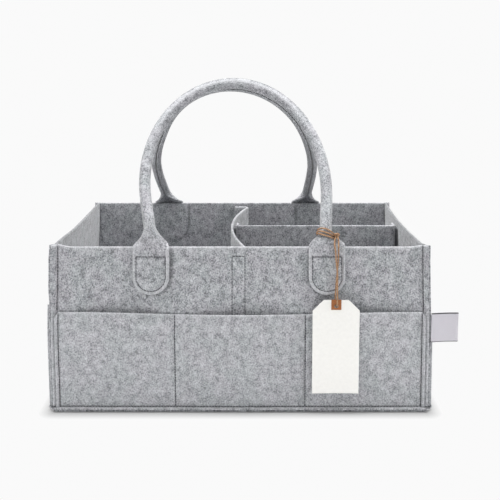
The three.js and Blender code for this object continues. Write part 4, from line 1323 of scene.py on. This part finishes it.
class CADDY_OT_twine(bpy.types.Operator):
    """Ties the jute twine: the turns round the leg, the knot and the hanging strands"""

    bl_idname = "caddy.twine"
    bl_label = "Twine"

    def execute(self, context):
        radius = size("twine") / 2
        path = smooth_path(strand_route(), 260)
        strands = tube_shell(path, radius, across=np.array([1.0, 0.05, 0.0]), **TWINE)
        piece = add_piece("hanging_twine", [strands], "jute", "hang_tag", ["twine_strands"])
        wrap = tube_shell(smooth_path(wrap_route()[::3], 360), radius, across=leg_axes()[3], **TWINE)
        add_piece("leg_twine", [wrap], "jute", "front_handle", ["twine_wrap"])
        loop = knot_route()
        knot = tube_shell(np.concatenate([loop, loop[:3]]), radius, **TWINE)
        add_piece("twine_knot_loop", [knot], "jute", "hang_tag", ["twine_knot"])
        return {"FINISHED"}


def holed_card(outline, thick, back_y, bend, soft):
    """A flat card with the twine's hole: rays from the hole to a convex outline, given as straight edges
    of normal and distance, carry a closed profile out over the front and back over the rear."""
    normals, distances = (np.array([e[i] for e in outline], float) for i in (0, 1))
    normals = unit(normals)
    around = np.argsort(np.arctan2(normals[:, 1], normals[:, 0]))
    first, after = normals[around], np.roll(normals[around], -1, axis=0)
    meet = np.stack([distances[around], np.roll(distances[around], -1)], -1)
    corner = np.linalg.solve(np.stack([first, after], 1), meet[..., None])[..., 0]
    exact = np.arctan2(corner[:, 1], corner[:, 0]) % (2 * math.pi)
    even = np.linspace(0, 2 * math.pi, 144, endpoint=False)
    angles = np.unique(np.concatenate([even, exact, exact + 0.004, exact - 0.004]))
    ray = np.stack([np.cos(angles), np.sin(angles)], -1)
    facing = ray @ normals.T
    reach = np.where(facing > 1e-6, distances / np.maximum(facing, 1e-6), 1e9).min(1)
    share = np.concatenate([[0.0, 0.02], np.linspace(0.08, 0.98, 22), [1.0]])
    radius = HOLE + (reach[:, None] - HOLE) * np.concatenate([share, share[::-1]])
    half = np.full(len(share), thick / 2)
    half[[0, -1]] -= soft
    side = np.concatenate([-half, half[::-1]])
    x = ray[:, :1] * radius
    z = ray[:, 1:] * radius
    y = back_y - thick / 2 + side[None] + bend(x, z)
    hole_z = KNOT_AT[2] - STRAND_DROP - HOLE_INSET
    vertices = np.stack([x + KNOT_AT[0] + TAG_SIDE, y, z + hole_z], -1)
    index = np.arange(x.size).reshape(x.shape)
    faces = grid_quads(index, wrap_rows=True, wrap_columns=True)
    flat = np.stack([x, z], -1).reshape(-1, 2)
    return vertices.reshape(-1, 3), faces, flat


class CADDY_OT_tag(bpy.types.Operator):
    """Cuts the blank card tag and the reinforcement round its hole"""

    bl_idname = "caddy.tag"
    bl_label = "Tag"

    def execute(self, context):
        corner = (CARD_HALF + HOLE_INSET - CARD_CLIP) * DIAGONAL
        edges = [((1, 0), CARD_HALF), ((-1, 0), CARD_HALF), ((1, 1), corner), ((-1, 1), corner)]
        edges += [((0, 1), HOLE_INSET), ((0, -1), CARD_LENGTH - HOLE_INSET)]

        def bend(x, z):
            cupped = CARD_CUP * (x / CARD_HALF) ** 2 * np.clip(-z / CARD_LENGTH, 0, 1)
            return -CARD_BEND * (np.minimum(z, 0) / CARD_LENGTH) ** 2 - cupped

        card = holed_card(edges, CARD, CARD_Y + CARD / 2, bend, soft=0.15)
        add_piece("card_tag", [card], "card", "hang_tag", ["hang_tag"])
        edges = [((1, 0), PATCH_HALF), ((-1, 0), PATCH_HALF)]
        edges += [((0, 1), HOLE_INSET + PATCH_TOP), ((0, -1), PATCH_LOW)]
        patch = holed_card(edges, PATCH, CARD_Y - CARD / 2 - PATCH_GAP, bend, soft=0.1)
        add_piece("hole_patch", [patch], "kraft", "hang_tag", ["tag_patch"])
        return {"FINISHED"}


class CADDY_OT_label(bpy.types.Operator):
    """Folds the ribbon label into the front right corner seam"""

    bl_idname = "caddy.label"
    bl_label = "Label"

    def execute(self, context):
        low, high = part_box("side_label")
        root_y, root_z = (low[1] + high[1]) * 500, low[2] * 1000
        root_x = settle(np.array([low[0] * 1000, root_y, root_z]))[0]
        root = np.array([root_x, root_y, root_z])
        reach, fold = LABEL_REACH, LABEL_FOLD
        turn = np.linspace(math.pi / 2, -math.pi / 2, 14)
        bow = np.stack([reach - fold + fold * np.cos(turn), fold * np.sin(turn)], -1)
        run = np.linspace(0, reach - fold, 30)[:-1]
        there = np.stack([run, np.full(len(run), fold)], -1)
        line = np.concatenate([there, bow, (there * [1, -1])[::-1]])
        share = line[:, 0] / reach
        line[:, 1] += LABEL_WAVE * np.sin(share * LABEL_TURN) - LABEL_BACK * share**2
        curve, length = plan_curve(line)

        def point(s, t):
            p = curve(s, t)
            belly = LABEL_BELLY * np.sin(t / LABEL_HEIGHT * math.pi) * p[..., 0] / reach
            return p + np.stack([0 * t, belly, p[..., 0] * LABEL_RISE], -1) + root

        s, t = stations(0.0, length, 1.2), stations(0.0, LABEL_HEIGHT, 1.5)
        shell = felt_shell(point, s, t, RIBBON, soft=0.12)
        label = add_piece("ribbon_label", [shell], "ribbon", None, ["side_label"])
        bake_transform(label)
        return {"FINISHED"}


# Stage


LENS, SENSOR, SHIFT = 60.3, 36.0, -0.148
CAMERA_AT, LOOK_DOWN = (0.010, -0.944, 0.365), 8.42
LAMP_AIM = np.array([0.0, 0.0, 0.12])
# Each lamp's name, place, width and power.
LAMPS = (
    ("left", (-1.0, -0.55, 0.6), 0.6, 5.0),
    ("right", (1.0, -0.55, 0.6), 0.6, 5.0),
    ("top", (0.0, 0.1, 1.6), 1.2, 40.0),
    ("front", (0.0, -1.6, 0.2), 1.4, 1.5),
)
SKY_LIGHT = 0.08
# Close to the caddy the camera sees the floor in a darker grey: painted shade that deepens its real contact
# shadow.
FLOOR_REACH, FLOOR_DROP, FLOOR_LIT, FLOOR_NEAR = 6.0, 0.0003, 0.92, 0.46
SHADE_BOX, SHADE_REACH = (0.19, 0.13, 0.0), 0.017


class CADDY_OT_stage(bpy.types.Operator):
    """Sets the camera, the soft studio light and the plain pale floor"""

    bl_idname = "caddy.stage"
    bl_label = "Stage"

    def execute(self, context):
        scene = context.scene
        scene.view_settings.view_transform = "Standard"
        data = bpy.data.cameras.new("camera")
        data.lens, data.sensor_width, data.shift_y = LENS, SENSOR, SHIFT
        scene.camera = self.place("camera", data, CAMERA_AT, (math.radians(90 - LOOK_DOWN), 0, 0))
        for name, at, width, power in LAMPS:
            data = bpy.data.lights.new(name, "AREA")
            data.size, data.energy = width, power
            way = LAMP_AIM - at
            tilt = math.acos(-way[2] / np.linalg.norm(way))
            self.place(name, data, at, (tilt, 0, math.atan2(way[1], way[0]) - math.pi / 2))
        self.add_world(scene)
        self.add_floor(scene)
        return {"FINISHED"}

    def place(self, name, data, at=(0, 0, 0), turn=(0, 0, 0)):
        """An object of the stage at its place."""
        thing = bpy.data.objects.new(name, data)
        thing.location, thing.rotation_euler = at, turn
        bpy.context.scene.collection.objects.link(thing)
        return thing

    def for_camera(self, owner, output, lit, seen):
        """Fills a world's or material's tree: one shader for the camera's rays and another for the light."""
        rays = add_node(owner.node_tree, "ShaderNodeLightPath").outputs["Is Camera Ray"]
        mix = add_node(owner.node_tree, "ShaderNodeMixShader", {0: rays, 1: lit, 2: seen})
        add_node(owner.node_tree, output, {"Surface": mix.outputs[0]})

    def add_world(self, scene):
        """An even pale sky that only the camera sees as the background."""
        world = scene.world = bpy.data.worlds.new("studio")
        world.use_nodes = True
        world.node_tree.nodes.clear()
        light, seen = (
            add_node(world.node_tree, "ShaderNodeBackground", {"Color": tint, "Strength": power}).outputs[0]
            for tint, power in (((1, 1, 1, 1), SKY_LIGHT), (scene.caddy_colours.floor, 1.0))
        )
        self.for_camera(world, "ShaderNodeOutputWorld", light, seen)

    def add_floor(self, scene):
        """A wide floor: the camera sees its own pale colour, and close to the caddy a darker grey lit by the
        lamps, painted shade that deepens the real shadow there.
        """
        edge = np.linspace(-FLOOR_REACH, FLOOR_REACH, 3)
        X, Y = np.meshgrid(edge, edge, indexing="ij")
        corners = np.stack([X, Y, np.full(X.shape, -FLOOR_DROP)], -1).reshape(-1, 3)
        mesh = bpy.data.meshes.new("floor")
        mesh.from_pydata(corners.tolist(), [], grid_quads(np.arange(9).reshape(3, 3)).tolist())
        material = bpy.data.materials.new("floor")
        material.use_nodes = True
        tree = material.node_tree
        tree.nodes.clear()
        # The near grey is painted shade that deepens the caddy's real shadow on the floor.
        lit, near = (
            add_node(tree, "ShaderNodeBsdfDiffuse", {"Color": (grey, grey, grey, 1)}).outputs[0]
            for grey in (FLOOR_LIT, FLOOR_NEAR)
        )
        own = add_node(tree, "ShaderNodeEmission", {"Color": scene.caddy_colours.floor, "Strength": 1.0})
        away = add_node(tree, "ShaderNodeTexCoord").outputs["Object"]
        for step in (("ABSOLUTE",), ("SUBTRACT", SHADE_BOX), ("MAXIMUM", (0, 0, 0)), ("LENGTH",)):
            inputs = dict(enumerate((away, *step[1:])))
            node = add_node(tree, "ShaderNodeVectorMath", inputs, operation=step[0])
            away = node.outputs["Value" if step[0] == "LENGTH" else "Vector"]
        inputs = {0: map_range(tree, away, 0.0, SHADE_REACH), 1: near, 2: own.outputs[0]}
        seen = add_node(tree, "ShaderNodeMixShader", inputs)
        self.for_camera(material, "ShaderNodeOutputMaterial", lit, seen.outputs[0])
        mesh.materials.append(material)
        self.place("floor", mesh)


class CADDY_PT_panel(bpy.types.Panel):
    """Lists the caddy's pieces in the sidebar"""

    bl_idname = "CADDY_PT_panel"
    bl_label = "Felt Caddy"
    bl_space_type = "VIEW_3D"
    bl_region_type = "UI"
    bl_category = "Caddy"

    def draw(self, context):
        for operator in OPERATORS:
            self.layout.operator(operator.bl_idname)
        for group in (context.scene.caddy_sizes, context.scene.caddy_colours):
            box = self.layout.box()
            for name in group.bl_rna.properties.keys():
                if name not in {"rna_type", "name"}:
                    box.prop(group, name)


OPERATORS = (
    CADDY_OT_stage,
    CADDY_OT_twine,
    CADDY_OT_walls,
    CADDY_OT_pockets,
    CADDY_OT_base,
    CADDY_OT_handles,
    CADDY_OT_dividers,
    CADDY_OT_tapes,
    CADDY_OT_stitching,
    CADDY_OT_tag,
    CADDY_OT_label,
)
CLASSES = (CaddySizes, CaddyColours, *OPERATORS, CADDY_PT_panel)


def register():
    for cls in CLASSES:
        bpy.utils.register_class(cls)
    bpy.types.Scene.caddy_sizes = bpy.props.PointerProperty(type=CaddySizes)
    bpy.types.Scene.caddy_colours = bpy.props.PointerProperty(type=CaddyColours)


def unregister():
    del bpy.types.Scene.caddy_colours
    del bpy.types.Scene.caddy_sizes
    for cls in reversed(CLASSES):
        bpy.utils.unregister_class(cls)


def main():
    register()
    for operator in OPERATORS:
        space, name = operator.bl_idname.split(".")
        getattr(getattr(bpy.ops, space), name)()


if __name__ == "__main__":
    main()
